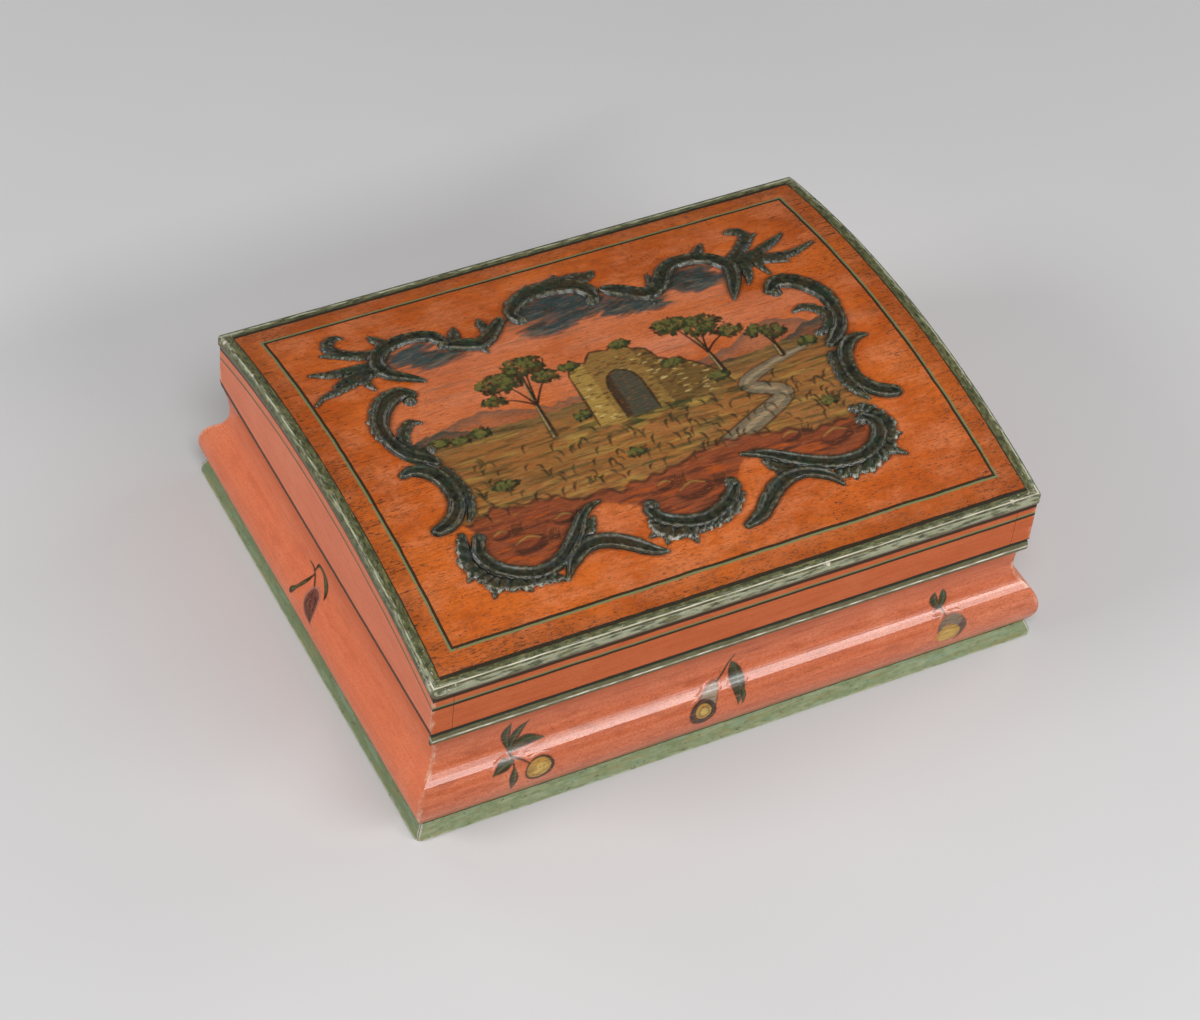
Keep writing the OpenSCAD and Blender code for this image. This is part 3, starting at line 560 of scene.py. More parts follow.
def make_relief_gesso():
    s = Shader("relief_gesso", GESSO_BLACK)
    s.lay(GESSO_GREY, s.spots(0.28, 0.38, 0.62, detail=5))
    s.lay(GESSO_GREEN, 0.7, s.spots(0.14, 0.48, 0.62, detail=4, shift=4))
    s.lay(GESSO_BLUE, 0.55, s.spots(0.10, 0.52, 0.66, detail=4, shift=7))
    s.lay(GESSO_GILT, 0.6, s.spots(0.5, 0.56, 0.66, detail=5, shift=5))
    s.lay(GESSO_BROWN, 0.6, s.spots(0.09, 0.48, 0.62, detail=4, shift=12))
    # Worn ridges, dark hollows, and chalky rims of the ruffles, laid heavier towards the front as a painted
    # highlight
    ridge = s.attribute("ridge")
    worn = s.between(0.03, 0.58, s.spots(0.38, 0.48, 0.64, detail=5, shift=2))
    s.lay(GESSO_WORN, s.ramp(ridge, 0.07, 0.26), worn)
    s.lay(GESSO_HOLLOW, 0.85, s.ramp(ridge, -0.08, -0.28))
    chalk_and_highlight = s.times(s.attribute("rim"), s.spots(0.35, 0.46, 0.60, detail=5, shift=9))
    s.lay(GESSO_CHALK_HIGHLIGHT, chalk_and_highlight, s.between(0.15, 0.70, s.ramp(s.y, -20.0, -70.0)))
    roughness = s.between(0.24, 0.48, s.noise(0.4, shift=3))
    height = s.total((s.noise(0.5, detail=4, shift=1), 0.14), (s.noise(2.2, shift=6), 0.02))
    return s.finish(roughness, height, **GESSO_GLOSS)


def make_bare_wood():
    s = Shader("bare_wood")
    s.colour = wood_colour(s)
    roughness = s.between(0.55, 0.75, s.noise((0.1, 0.6, 0.6)))
    return s.finish(roughness, s.times(s.noise((0.05, 1.2, 1.2), detail=5), 0.12))


def make_metal(name, light, dark, metal):
    s = Shader(name, light)
    tarnish = s.spots(0.35, 0.38, 0.64, detail=5)
    s.lay(dark, tarnish)
    return s.finish(s.between(0.3, 0.55, tarnish), s.times(s.noise(1.1), 0.05), Metallic=metal)


def painted_over(name, under, gloss):
    """A lacquer that shows through the painted film where the paint is thin."""
    s = Shader(name)
    roughness, height = under(s)
    brush = s.spots((0.12, 1.3, 1.3), 0.40, 0.70, detail=4, shift=15)
    tone = s.mix(s.times(brush, 0.45), s.attribute("paint", "Color"), DIRT)
    whole = s.spots((0.25, 1.1, 1.1), 0.68, 0.54, detail=4, shift=19)
    s.lay(tone, s.attribute("paint", "Alpha"), s.between(0.7, 1.0, whole))
    s.lay(DIRT, 0.55, s.spots((0.28, 1.5, 1.5), 0.58, 0.70, detail=4, rough=0.6, shift=37))
    return s.finish(roughness, height, **gloss)


# Meshes over a grid: the four corners of each cell, in turn
NEAR = slice(None, -1)
FAR = slice(1, None)
RING = [(NEAR, NEAR), (FAR, NEAR), (FAR, FAR), (NEAR, FAR)]
FILL_ROUNDS = 4


def filled_corners(keep):
    """Kept cells, with those added that would only touch another at a corner."""
    for _ in range(FILL_ROUNDS):
        a, b, c, d = (keep[corner] for corner in RING)
        touch = (a & c & ~b & ~d) | (b & d & ~a & ~c)
        keep = keep.copy()
        for corner in RING:
            keep[corner] |= touch
    return keep


def closed_sheet(name, u, v, top, floor, keep, place, attributes, material):
    """A closed mesh over the kept cells of a grid, from height floor up to top."""
    keep = filled_corners(keep)
    used = np.zeros(top.shape, bool)
    for corner in RING:
        used[corner] |= keep
    count = int(used.sum())
    index = np.zeros(top.shape, int)
    index[used] = np.arange(count)
    grid_u, grid_v = np.meshgrid(u, v, indexing="ij")
    upper = place(grid_u[used], grid_v[used], top[used])
    lower = place(grid_u[used], grid_v[used], np.full(count, floor))
    ring = [index[corner] for corner in RING]
    tops = np.stack([corner[keep] for corner in ring], 1)
    faces = [tops, tops[:, ::-1] + count]
    padded = np.pad(keep, 1)
    beyond = [padded[1:-1, :-2], padded[2:, 1:-1], padded[1:-1, 2:], padded[:-2, 1:-1]]
    for side, outer in enumerate(beyond):
        rim = keep & ~outer
        a = ring[side][rim]
        b = ring[(side + 1) % len(ring)][rim]
        faces.append(np.stack([b, a, a + count, b + count], 1))
    faces = np.concatenate(faces)
    mesh = bpy.data.meshes.new(name)
    mesh.vertices.add(2 * count)
    mesh.vertices.foreach_set("co", (np.concatenate([upper, lower]) * MM).ravel())
    mesh.loops.add(faces.size)
    mesh.loops.foreach_set("vertex_index", faces.ravel())
    mesh.polygons.add(len(faces))
    mesh.polygons.foreach_set("loop_start", np.arange(len(faces)) * len(ring))
    mesh.polygons.foreach_set("use_smooth", np.arange(len(faces)) < len(tops))
    mesh.update(calc_edges=True)
    for label, values in attributes.items():
        flat = np.concatenate([values[used], values[used]]).astype(np.float32)
        kind, field = ("FLOAT_COLOR", "color") if flat.ndim == 2 else ("FLOAT", "value")
        mesh.attributes.new(label, kind, "POINT").data.foreach_set(field, flat.ravel())
    mesh.materials.append(material)
    return add_object(name, mesh)


def on_panel(x, y, h):
    """A place h over the lid's arched panel, above plan point (x, y)."""
    angle = np.arcsin(np.clip(y / panel_r, -1, 1))
    return np.stack([x, (panel_r + h) * np.sin(angle), arch_z + (panel_r + h) * np.cos(angle)], 1)


SLOPE_STEP = 0.05


def on_wall(side):
    """Places over a base wall, from the run along it, the height and how far out."""
    def place(run, z, h):
        slope = (wall_reach(z + SLOPE_STEP) - wall_reach(z - SLOPE_STEP)) / (2 * SLOPE_STEP)
        out = 1 / np.sqrt(1 + slope ** 2)
        reach = wall_reach(z) + h * out
        up = z - h * slope * out
        if side == "front":
            return np.stack([run, -half_d - reach, up], 1)
        if side == "left":
            return np.stack([-half_w - reach, -run, up], 1)
        return np.stack([half_w + reach, run, up], 1)
    return place


def blurred(field, radius, step):
    """Field smoothed over a radius in millimetres."""
    reach = max(1, int(3 * radius / step))
    weights = np.exp(-0.5 * (np.arange(-reach, reach + 1) * step / radius) ** 2)
    weights /= weights.sum()
    padded = np.pad(field, reach, mode="edge")
    rows = sum(w * padded[i:i + field.shape[0], :] for i, w in enumerate(weights))
    return sum(w * rows[:, i:i + field.shape[1]] for i, w in enumerate(weights))


def ramp(value, none, full):
    """0 where the value is at none or beyond, 1 at full or beyond, smooth between."""
    t = np.clip((value - none) / (full - none), 0, 1)
    return t * t * (3 - 2 * t)


def bell(value, middle, half):
    return np.exp(-((value - middle) / half) ** 2)


def smooth(points, steps):
    """A smooth curve through all points of a list."""
    p = np.array(points, float)
    last = len(p) - 1
    t = np.linspace(0, 1, steps, endpoint=False)[:, None]
    runs = []
    for i in range(last):
        a, b, c, d = p[max(i - 1, 0)], p[i], p[i + 1], p[min(i + 2, last)]
        bend = 2 * b + (c - a) * t + (2 * a - 5 * b + 4 * c - d) * t ** 2 + (3 * b - a - 3 * c + d) * t ** 3
        runs.append(0.5 * bend)
    return np.concatenate(runs + [p[-1:]])


LEAST_HALF = 0.2
LEAST_RUN = 1e-9


def along_stroke(points, u, v, steps=8):
    """Share of the half width, side, length along and half width, at grid points near a stroke.

    A stroke is a list of points [x, y, half width]; each grid point takes the nearest piece of its curve.
    """
    curve = smooth(points, steps)
    share = np.full(u.shape, np.inf)
    side, along, half = (np.zeros(u.shape) for _ in range(3))
    passed = 0.0
    for (xa, ya, wa), (xb, yb, wb) in zip(curve[:-1], curve[1:]):
        run = math.hypot(xb - xa, yb - ya) + LEAST_RUN
        at = np.clip(((u - xa) * (xb - xa) + (v - ya) * (yb - ya)) / run ** 2, 0, 1)
        width = np.maximum(wa + (wb - wa) * at, LEAST_HALF)
        reach = np.hypot(u - xa - (xb - xa) * at, v - ya - (yb - ya) * at) / width
        nearer = reach < share
        share = np.where(nearer, reach, share)
        turn = (xb - xa) * (v - ya) - (yb - ya) * (u - xa)
        side = np.where(nearer, np.sign(turn), side)
        along = np.where(nearer, passed + at * run, along)
        half = np.where(nearer, width, half)
        passed += run
    return share, side, along, half


LUMP_SPREAD = 1.6


class Lumps:
    """Seeded smooth unevenness over the plan, from about -1 to 1."""

    def __init__(self, seed, size, waves=24):
        rng = np.random.default_rng(seed)
        turn = rng.uniform(0, 2 * math.pi, waves)
        pace = 2 * math.pi / (size * rng.uniform(0.6, 1.8, waves))
        phase = rng.uniform(0, 2 * math.pi, waves)
        self.waves = list(zip(pace * np.cos(turn), pace * np.sin(turn), phase))

    def __call__(self, u, v):
        total = sum(np.sin(a * u + b * v + c) for a, b, c in self.waves)
        return total / math.sqrt(len(self.waves)) / LUMP_SPREAD


# Scroll relief: the strokes of the solids, points [x, y, half width]
RELIEF = {
    "relief_crest": {
        "bands": [
            [[-28, 78, 3], [-29.5, 84, 4], [-24, 91, 5], [-15, 96.5, 6], [-4, 98, 6.5], [6, 97, 7],
             [14, 93, 6], [19, 86, 5], [19.5, 79, 3.5]],
        ],
        "curls": [[-27, 77, 4], [17, 77, 4.2]],
        "ruffles": [
            [[17, 98, 2], [9, 102, 2.8], [-3, 103, 3], [-15, 101, 3], [-25, 95, 2.8], [-31, 87, 2]],
        ],
        "leaves": [
            [[4, 100, 6], [17, 100, 6], [25, 99.5, 4], [30, 102.5, 0.8]],
            [[-18, 98, 4], [-12, 103, 2], [-10, 105.5, 0.8]],
            [[2, 102, 4], [7, 106, 2], [9, 108, 0.8]],
        ],
    },
    "relief_left_shoulder": {
        "bands": [
            [[-98, 51, 1.2], [-104, 56, 2.6], [-111, 61.5, 3.8], [-115, 69, 5], [-114, 77, 5], [-107, 85, 5],
             [-97, 88.5, 4.5], [-87, 88.5, 4.5], [-78.5, 85, 4.5], [-74.5, 78, 3.5]],
            [[-72, 73, 4], [-64.5, 70, 5], [-57.5, 67.5, 5], [-51, 70, 5], [-45, 75, 4.5], [-38, 81.5, 3.2]],
        ],
        "curls": [[-75, 74.5, 3.8]],
        "ruffles": [],
        "leaves": [
            [[-113, 83, 4.5], [-122, 87, 4.2], [-129.5, 92.5, 4.2], [-133, 99, 4], [-131, 105, 3.6],
             [-126, 107.5, 2.6], [-122.5, 105.5, 1]],
            [[-120, 84.5, 2.5], [-130, 90, 2.4], [-139.5, 95, 0.8]],
            [[-104, 90, 4], [-107, 95.5, 3], [-109, 99.5, 1]],
            [[-116, 73, 5], [-125, 75, 4.2], [-134, 76, 3.8], [-143, 77.5, 3], [-152, 81, 0.8]],
            [[-117, 71, 4], [-131, 70, 4], [-144, 66, 1]],
            [[-118, 69, 3.5], [-133, 65, 3.2], [-146, 61.5, 2.6], [-153, 60, 1.8], [-159, 55.5, 0.8]],
            [[-127, 66, 3], [-126.5, 60, 2.2], [-125, 55, 0.8]],
            [[-69, 75, 4], [-66, 81, 3.4], [-64, 86.5, 1.2]],
            [[-47, 76, 4], [-48.5, 83, 2.8], [-48, 88, 1]],
            [[-57.5, 66, 3], [-56, 59, 0.8]],
        ],
    },
    "relief_right_shoulder": {
        "bands": [
            [[26.5, 83.5, 2], [31, 80.5, 4.5], [37, 76, 5.5], [43, 71, 5.5], [48.5, 69, 5.5], [55, 71.5, 5.5],
             [60.5, 77, 5.5], [65.5, 84, 5.2], [72, 88, 5], [80, 89, 4.8], [88, 87, 4.8], [95, 82.5, 4.8],
             [99.5, 76, 5], [101, 70, 5], [98, 61, 4.5], [93.5, 52.5, 3.2], [89.5, 44.5, 0.8]],
        ],
        "curls": [],
        "ruffles": [],
        "leaves": [
            [[88, 90, 3.5], [93, 94, 3], [97.5, 99, 0.8]],
            [[101, 75, 5], [109, 79, 4.8], [116.5, 86, 4.4], [122.5, 92, 4.2], [124, 98, 3.4],
             [120.5, 102, 3.4], [116, 102.5, 1.8]],
            [[121, 90, 3], [130, 94.5, 0.8]],
            [[103, 74, 5], [117, 76, 4], [128, 80, 3.4], [136, 83.5, 2.8], [144, 88, 0.8]],
            [[105, 72, 5], [120, 71, 4.4], [130, 69.5, 4], [138, 68.5, 3.2], [147, 70.5, 2.2],
             [155.5, 73, 0.8]],
            [[123, 69, 3], [134.5, 63, 0.8]],
            [[117, 69, 3], [119, 57, 0.8]],
            [[109, 69, 4], [107, 60, 2.6], [103.5, 53.5, 0.8]],
            [[54, 74, 4], [55.5, 85, 1]],
            [[48, 67, 3], [47, 59, 0.8]],
        ],
    },
    "relief_left_side": {
        "bands": [
            [[-109, 43, 3], [-115, 46, 5], [-123, 43.5, 5.8], [-130, 36, 5.6], [-134.5, 27, 4.8],
             [-135.5, 17, 4.4], [-134, 8, 4.2], [-130, 0, 4.4], [-124, -5, 4.5], [-119, -10, 3]],
            [[-139, -12, 2.4], [-134, -11, 3.6], [-128, -13.5, 4.6], [-122.5, -20, 4.8], [-120, -30, 4.8],
             [-121, -40, 4.8], [-125.5, -47.5, 5], [-132, -52, 4.6], [-138.5, -53.5, 3.4]],
        ],
        "curls": [[-112, 38.5, 4], [-118, 0, 3.6]],
        "ruffles": [
            [[-139, 16, 2], [-138.5, 26, 2.6], [-135, 36, 2.8], [-128.5, 44.5, 2.8], [-120.5, 49, 2.6],
             [-113, 49, 2]],
        ],
        "leaves": [
            [[-114, 20.5, 0.9], [-119, 22.5, 2.6], [-124.5, 18.5, 3.6], [-128, 11, 3.5], [-127, 4, 3],
             [-122, 0, 3]],
            [[-133, 31, 3], [-140, 32, 0.8]],
            [[-117, -17, 3.5], [-114.5, -27, 3], [-113.5, -37, 3], [-116, -47, 2.5], [-120, -53, 1]],
        ],
    },
    "relief_right_side": {
        "bands": [
            [[110.5, 43, 3], [117, 48, 5], [125, 46, 5.6], [132, 39, 5.4], [136.5, 30, 4.8], [137.5, 20, 4.4],
             [136.5, 10, 4.4], [133, 2, 4.4], [127.5, -4, 4.5], [121, -9, 3]],
            [[143, -10, 0.9], [136, -10, 3], [129, -13, 4.6], [123.5, -21, 4.8], [121, -31, 4.8],
             [122, -40, 4.8], [126.5, -47.5, 5], [132, -51.5, 4.8], [137, -53.5, 4]],
        ],
        "curls": [[113.5, 40.5, 4], [119.5, 1, 3]],
        "ruffles": [
            [[115, 51, 2], [122.5, 51.5, 2.6], [130.5, 47, 2.8], [137, 38.5, 2.8], [140.5, 29, 2.6],
             [141, 19, 2]],
        ],
        "leaves": [
            [[114.5, 21.5, 0.9], [120, 23, 2.6], [126, 20.5, 3.2], [130, 14, 3.4], [129, 6, 3],
             [123.5, 1.5, 2.8]],
            [[135, 30, 3], [142.5, 31, 0.8]],
            [[118, -17, 3.5], [115.5, -26, 3.2], [114.5, -36, 3.2], [117, -46, 2.6], [121, -53, 1]],
        ],
    },
    "relief_bottom_left": {
        "bands": [
            [[-121, -66, 3.4], [-124, -74, 4.4], [-122, -82, 4.5], [-115, -89.5, 4.5], [-104, -94.5, 4.2],
             [-94, -95, 4.2], [-84, -91.5, 4.5], [-76.5, -85.5, 4.5], [-70, -79, 4.2], [-64.5, -72.5, 3.4],
             [-58, -67.5, 2.2], [-50, -65, 0.8]],
            [[-87, -104, 0.9], [-80, -95.5, 3.6], [-70.5, -89.5, 4.4], [-61, -88.5, 4.6], [-51.5, -92, 5],
             [-43, -98, 4.6], [-36, -103.5, 3], [-29.5, -106.5, 0.8]],
        ],
        "curls": [[-119.5, -65.5, 3.6]],
        "ruffles": [
            [[-128, -61, 2.5], [-131, -70, 4], [-132.5, -79, 4.5], [-129, -87, 4], [-124, -94, 4.5],
             [-114, -98, 4], [-103, -99.5, 3.5], [-93, -101, 3], [-87, -104.5, 0.9]],
        ],
        "leaves": [
            [[-131, -84, 3.5], [-136.5, -88, 0.8]],
            [[-125, -95, 3.5], [-128, -101.5, 0.8]],
            [[-112, -99, 3.5], [-108, -104, 0.8]],
            [[-71, -83, 4], [-63, -79, 4], [-57.5, -73.5, 0.9]],
        ],
    },
    "relief_bottom_middle": {
        "bands": [
            [[-27.5, -80, 3.6], [-23, -87.5, 4.4], [-13.5, -92.5, 4.5], [-3, -94.5, 4.5], [7, -92.5, 4.5],
             [16, -88, 4.5], [23, -81, 3.6]],
        ],
        "curls": [[-25, -77.5, 4.4], [22.5, -78.5, 4.2]],
        "ruffles": [
            [[-30, -86, 2], [-26.5, -93, 4.5], [-16, -98, 4.5], [-5, -98.5, 3.5], [6, -97.5, 3.5],
             [16, -93.5, 3.5], [24.5, -87, 2]],
        ],
        "leaves": [
            [[-27, -93, 4], [-34.5, -95.5, 0.8]],
            [[-24, -96, 4], [-28, -102, 0.8]],
            [[-13, -98, 4.5], [-12, -106.5, 0.8]],
        ],
    },
    "relief_bottom_right": {
        "bands": [
            [[111, -63.5, 3], [115, -68, 4], [114.5, -75, 4.5], [109.5, -81.5, 4.5], [100.5, -86, 4.5],
             [90, -87, 4.5], [79, -85, 4.5], [69, -80.5, 4.5], [60, -75.5, 4.4], [51, -69.5, 3.6],
             [44, -66, 2.4], [36, -63.5, 0.8]],
            [[18, -106, 2], [27.5, -102.5, 4.2], [36, -95.5, 5], [44, -89.5, 5], [53, -86, 4.4],
             [62, -86, 3.4], [71, -89.5, 3.4], [77, -95, 2.6], [79.5, -100, 0.8]],
        ],
        "curls": [[109, -65, 3.4], [109.5, -57, 3]],
        "ruffles": [
            [[80, -93, 3], [91, -94, 3.6], [102, -92, 4], [112, -88, 4], [117, -82, 4.5], [122, -74, 4.4],
             [120.5, -65, 4], [116, -58.5, 3.4], [109, -57, 3]],
        ],
        "leaves": [
            [[119, -78, 3.5], [125.5, -80.5, 0.8]],
            [[114, -87, 4], [122, -93.5, 0.8]],
            [[102, -92, 3.5], [99, -98, 0.8]],
            [[89, -94, 3.5], [88, -99, 0.8]],
            [[59, -82, 4], [51, -78.5, 4], [45, -71.5, 0.9]],
        ],
    },
}
SCROLL_H = 2.6
LEAF_H = 1.6
RELIEF_STEP = 0.5
RELIEF_ROOT = -0.5
RELIEF_FLOOR = -0.7
RELIEF_KEPT = -0.25
RELIEF_MARGIN = 3.0
RELIEF_BLUR = 0.36
RIDGE_BLUR = 1.3
FLUTE_LENGTH = 6.0
LOBE_LENGTH = 5.0
relief_lumps = Lumps(11, 5.0)
edge_lumps = Lumps(17, 6.0)


# Heights across a stroke; t is the share of its half width
def band_height(t, side):
    """A band with a smooth channel between two thin ridges, its edges crossing the panel at t = 1."""
    channel = 0.26 * ramp(np.abs(side * t + 0.05), 0.58, 0.25)
    return SCROLL_H * (0.80 * (1 - t ** 6) + 0.26 * bell(t, 0.70, 0.13) - channel)


def curl_height(t):
    return SCROLL_H * (0.98 * (1 - t ** 3) - 0.24 * bell(t, 0.66, 0.13))


def leaf_height(t, length, half):
    """A lobed leaf with a groove along its middle and veins towards its edges."""
    lobes = np.cos((length - 0.8 * t * half) * 2 * math.pi / LOBE_LENGTH)
    t = t / (1 + 0.15 * lobes * ramp(half, 1.2, 3.0))
    veins = 0.13 * lobes * ramp(t, 0.2, 0.5) * ramp(t, 1.0, 0.8)
    return LEAF_H * (1.05 * (1 - t ** 3) - 0.30 * bell(t, 0, 0.2) + veins)


def ruffle_height(t, side, length):
    """A ruffle with slanting flutes across it and an uneven scalloped outer edge, where side is 1."""
    uneven = length + 1.6 * np.sin(length / 5.3)
    wave = np.cos((uneven + 2.0 * side * t) * 2 * math.pi / FLUTE_LENGTH)
    t = t / (1.0 + 0.20 * wave * ramp(side * t, -0.2, 0.4))
    return LEAF_H * (0.9 * (1 - t ** 4) + 0.24 * wave * ramp(t, 1.1, 0.7))


def outer_side(points):
    """1 where a stroke turns clockwise, so that its outer side is on its left, or else -1."""
    (xa, ya, _), (xb, yb, _), (xc, yc, _) = points[0], points[len(points) // 2], points[-1]
    return -math.copysign(1, (xb - xa) * (yc - yb) - (yb - ya) * (xc - xb))


def relief_heights(strokes, u, v):
    """Height of a group of strokes over the panel, and how near each point is to a ruffle's edge."""
    height = np.full(u.shape, RELIEF_ROOT)
    rim = np.zeros(u.shape)
    for points in strokes["leaves"]:
        t, _, length, half = along_stroke(points, u, v)
        height = np.maximum(height, leaf_height(t, length, half))
    for points in strokes["ruffles"]:
        t, side, length, _ = along_stroke(points, u, v)
        side = side * outer_side(points)
        height = np.maximum(height, ruffle_height(t, side, length))
        rim = np.maximum(rim, ramp(side * t, 0.62, 0.85) * ramp(t, 1.5, 1.25))
    for points in strokes["bands"]:
        t, side, _, _ = along_stroke(points, u, v)
        t = t * (1 + 0.06 * edge_lumps(u, v))
        rim = rim * ramp(t, 1.0, 1.15)
        height = np.maximum(height, band_height(t, side))
    for x, y, r in strokes["curls"]:
        height = np.maximum(height, curl_height(np.hypot(u - x, v - y) / r))
    return height, rim


def make_relief(name, strokes, material):
    lines = strokes["bands"] + strokes["leaves"] + strokes["ruffles"] + [strokes["curls"]]
    every = np.array([point for line in lines for point in line])
    low = (every[:, :2] - every[:, 2:]).min(0) - RELIEF_MARGIN
    high = (every[:, :2] + every[:, 2:]).max(0) + RELIEF_MARGIN
    u, v = (np.arange(start, end, RELIEF_STEP) for start, end in zip(low, high))
    grid_u, grid_v = np.meshgrid(u, v, indexing="ij")
    height, rim = relief_heights(strokes, grid_u, grid_v)
    height = blurred(height, RELIEF_BLUR, RELIEF_STEP)
    height = height + 0.10 * relief_lumps(grid_u, grid_v) * ramp(height, 0.2, 1.0)
    height = np.clip(height, RELIEF_ROOT, SCROLL_H)
    tones = {"ridge": height - blurred(height, RIDGE_BLUR, RELIEF_STEP), "rim": rim}
    keep = np.maximum.reduce([height[corner] for corner in RING]) > RELIEF_KEPT
    piece = closed_sheet(name, u, v, height, RELIEF_FLOOR, keep, on_panel, tones, material)
    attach(piece, "lid")
    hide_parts(name)


# Painted films
FILM_T = 0.08
FILM_DIP = 0.04
FILM_START = 0.01
STROKE_STEPS = 5
STROKE_MARGIN = 1.0
FILL_MARGIN = 2
FILL_BLUR = 0.5
DAB_REACH = 1.4
LEAST_COVER = 1e-3


class Canvas:
    """A painted film on a grid: colour and cover, with random draws of its own."""

    def __init__(self, low, high, step, seed):
        self.u = np.arange(low[0], high[0], step)
        self.v = np.arange(low[1], high[1], step)
        self.grid_u, self.grid_v = np.meshgrid(self.u, self.v, indexing="ij")
        self.colour = np.zeros(self.grid_u.shape + (3,))
        self.cover = np.zeros(self.grid_u.shape)
        self.step = step
        self.rng = np.random.default_rng(seed)

    def pick(self, choices):
        return choices[self.rng.integers(len(choices))]

    def lay(self, part, cover, colour):
        cover = np.clip(cover, 0, 1)
        self.colour[part] = self.colour[part] * (1 - cover[..., None]) + np.array(colour) * cover[..., None]
        self.cover[part] = self.cover[part] * (1 - cover) + cover

    def part(self, low, high):
        """The grid's window between two corners."""
        a, b = np.searchsorted(self.u, (low[0], high[0]))
        c, d = np.searchsorted(self.v, (low[1], high[1]))
        return slice(a, max(b, a + 1)), slice(c, max(d, c + 1))

    def wash(self, cover, colour):
        self.lay((slice(None), slice(None)), cover, colour)

    def stroke(self, points, colour, strength=1.0, soft=0.35):
        """A brush stroke along points [x, y, half width]."""
        p = np.array(points, float)
        margin = p[:, 2].max() + STROKE_MARGIN
        where = self.part(p[:, :2].min(0) - margin, p[:, :2].max(0) + margin)
        if self.grid_u[where].size == 0:
            return
        t, _, _, half = along_stroke(points, self.grid_u[where], self.grid_v[where], STROKE_STEPS)
        edge = np.clip(half * (1 - t) / soft, -1, 1) * 0.5 + 0.5
        self.lay(where, strength * edge, colour)

    def fill(self, outline, colour, strength=1.0):
        """A flat shape inside an outline of (x, y) points."""
        p = np.array(outline, float)
        where = self.part(p.min(0) - FILL_MARGIN, p.max(0) + FILL_MARGIN)
        inside = within(outline, self.grid_u[where], self.grid_v[where]).astype(float)
        self.lay(where, strength * blurred(inside, FILL_BLUR, self.step), colour)

    def dab(self, at, size, turn, colour, strength=1.0, edge=(1.25, 0.6)):
        """An oval touch of the brush, soft between two squared shares of its size."""
        reach = max(size) * DAB_REACH
        where = self.part((at[0] - reach, at[1] - reach), (at[0] + reach, at[1] + reach))
        gap_u = self.grid_u[where] - at[0]
        gap_v = self.grid_v[where] - at[1]
        a = (gap_u * math.cos(turn) + gap_v * math.sin(turn)) / size[0]
        b = (gap_v * math.cos(turn) - gap_u * math.sin(turn)) / size[1]
        self.lay(where, strength * ramp(a * a + b * b, *edge), colour)

    def paint(self):
        """Colour and cover of each grid point."""
        colour = self.colour / np.maximum(self.cover, LEAST_COVER)[..., None]
        return np.concatenate([colour, self.cover[..., None]], -1)

    def film(self, name, paint, cover, full, keep, floor, place, material):
        """The film's mesh, which dips just under the lacquer where nothing is painted."""
        top = (FILM_T + FILM_DIP) * ramp(cover, FILM_START, full) - FILM_DIP
        return closed_sheet(name, self.u, self.v, top, floor, keep, place, {"paint": paint}, material)


CLOUD = (0.020, 0.034, 0.030)
CLOUD_BLUE = (0.034, 0.066, 0.066)
CLOUD_LIGHT = (0.16, 0.14, 0.10)
FAR_HILL = (0.085, 0.085, 0.062)
HILL = (0.040, 0.052, 0.038)
MEADOW = (0.23, 0.130, 0.036)
MEADOW_DARK = (0.062, 0.048, 0.016)
WATER = (0.19, 0.155, 0.095)
WATER_LIGHT = (0.40, 0.30, 0.17)
EARTH = (0.24, 0.052, 0.018)
EARTH_DARK = (0.050, 0.016, 0.009)
LEAF_DARK = (0.012, 0.018, 0.007)
LEAF = (0.034, 0.050, 0.014)
LEAF_LIGHT = (0.12, 0.125, 0.030)
OCHRE = (0.40, 0.25, 0.055)
STRAW = (0.62, 0.47, 0.18)
UMBER = (0.050, 0.026, 0.012)
TRUNK = (0.022, 0.013, 0.007)
WALL = (0.25, 0.145, 0.036)
SCROLL_SHADE_AND_DIRT = (0.016, 0.014, 0.009)

# Line of the scrolls round the picture
PICTURE_RIM = [
    (-98, 51), (-104, 56), (-113, 64), (-114, 77), (-104, 87), (-90, 88), (-78, 83), (-66, 71), (-54, 68),
    (-44, 76), (-30, 84), (-20, 94), (-4, 98), (12, 94), (20, 82), (32, 80), (46, 69), (58, 74), (68, 86),
    (82, 89), (95, 82), (101, 70), (97, 60), (92, 50), (112, 44), (126, 45), (136, 30), (137, 12), (128, -4),
    (124, -20), (121, -34), (126, -48), (117, -58), (115, -72), (104, -84), (88, -87), (69, -80), (52, -70),
    (36, -66), (24, -80), (8, -92), (-10, -93), (-24, -86), (-30, -76), (-48, -66), (-64, -72), (-80, -89),
    (-96, -95), (-114, -90), (-124, -76), (-120, -62), (-128, -50), (-120, -34), (-124, -18), (-132, -4),
    (-136, 16), (-132, 34), (-120, 46),
]

# Clouds and crowns of leaves: middle, half width and half height; trees: x, foot, top, lean and crowns
CLOUDS = [
    (-94, 76, 18, 7), (-86, 66, 20, 5), (-24, 82, 14, 7), (-4, 84, 18, 9), (8, 74, 22, 8),
    (-12, 66, 20, 5), (30, 64, 16, 5), (44, 60, 14, 4), (72, 76, 15, 8), (80, 67, 16, 6),
]
TREES = [
    (-52, -16, 34, 4, [(-62, 32, 14, 8), (-44, 40, 13, 8), (-70, 20, 8, 4), (-36, 28, 8, 5)]),
    (56, -8, 30, -3, [(46, 38, 12, 7), (62, 32, 13, 9), (74, 22, 8, 5)]),
    (92, -6, 12, 1, [(88, 16, 7, 5), (97, 12, 7, 5)]),
]
SHRUBS = [
    (-112, 2), (-100, 0), (-88, 1), (-30, -8), (28, -12), (110, -2), (-92, -38), (100, -46), (-16, -42),
]
RUIN_SHRUBS = [(-21, 30, 6, 3), (13, 36, 6, 3), (33, 11, 7, 3), (52, -8, 6, 3)]
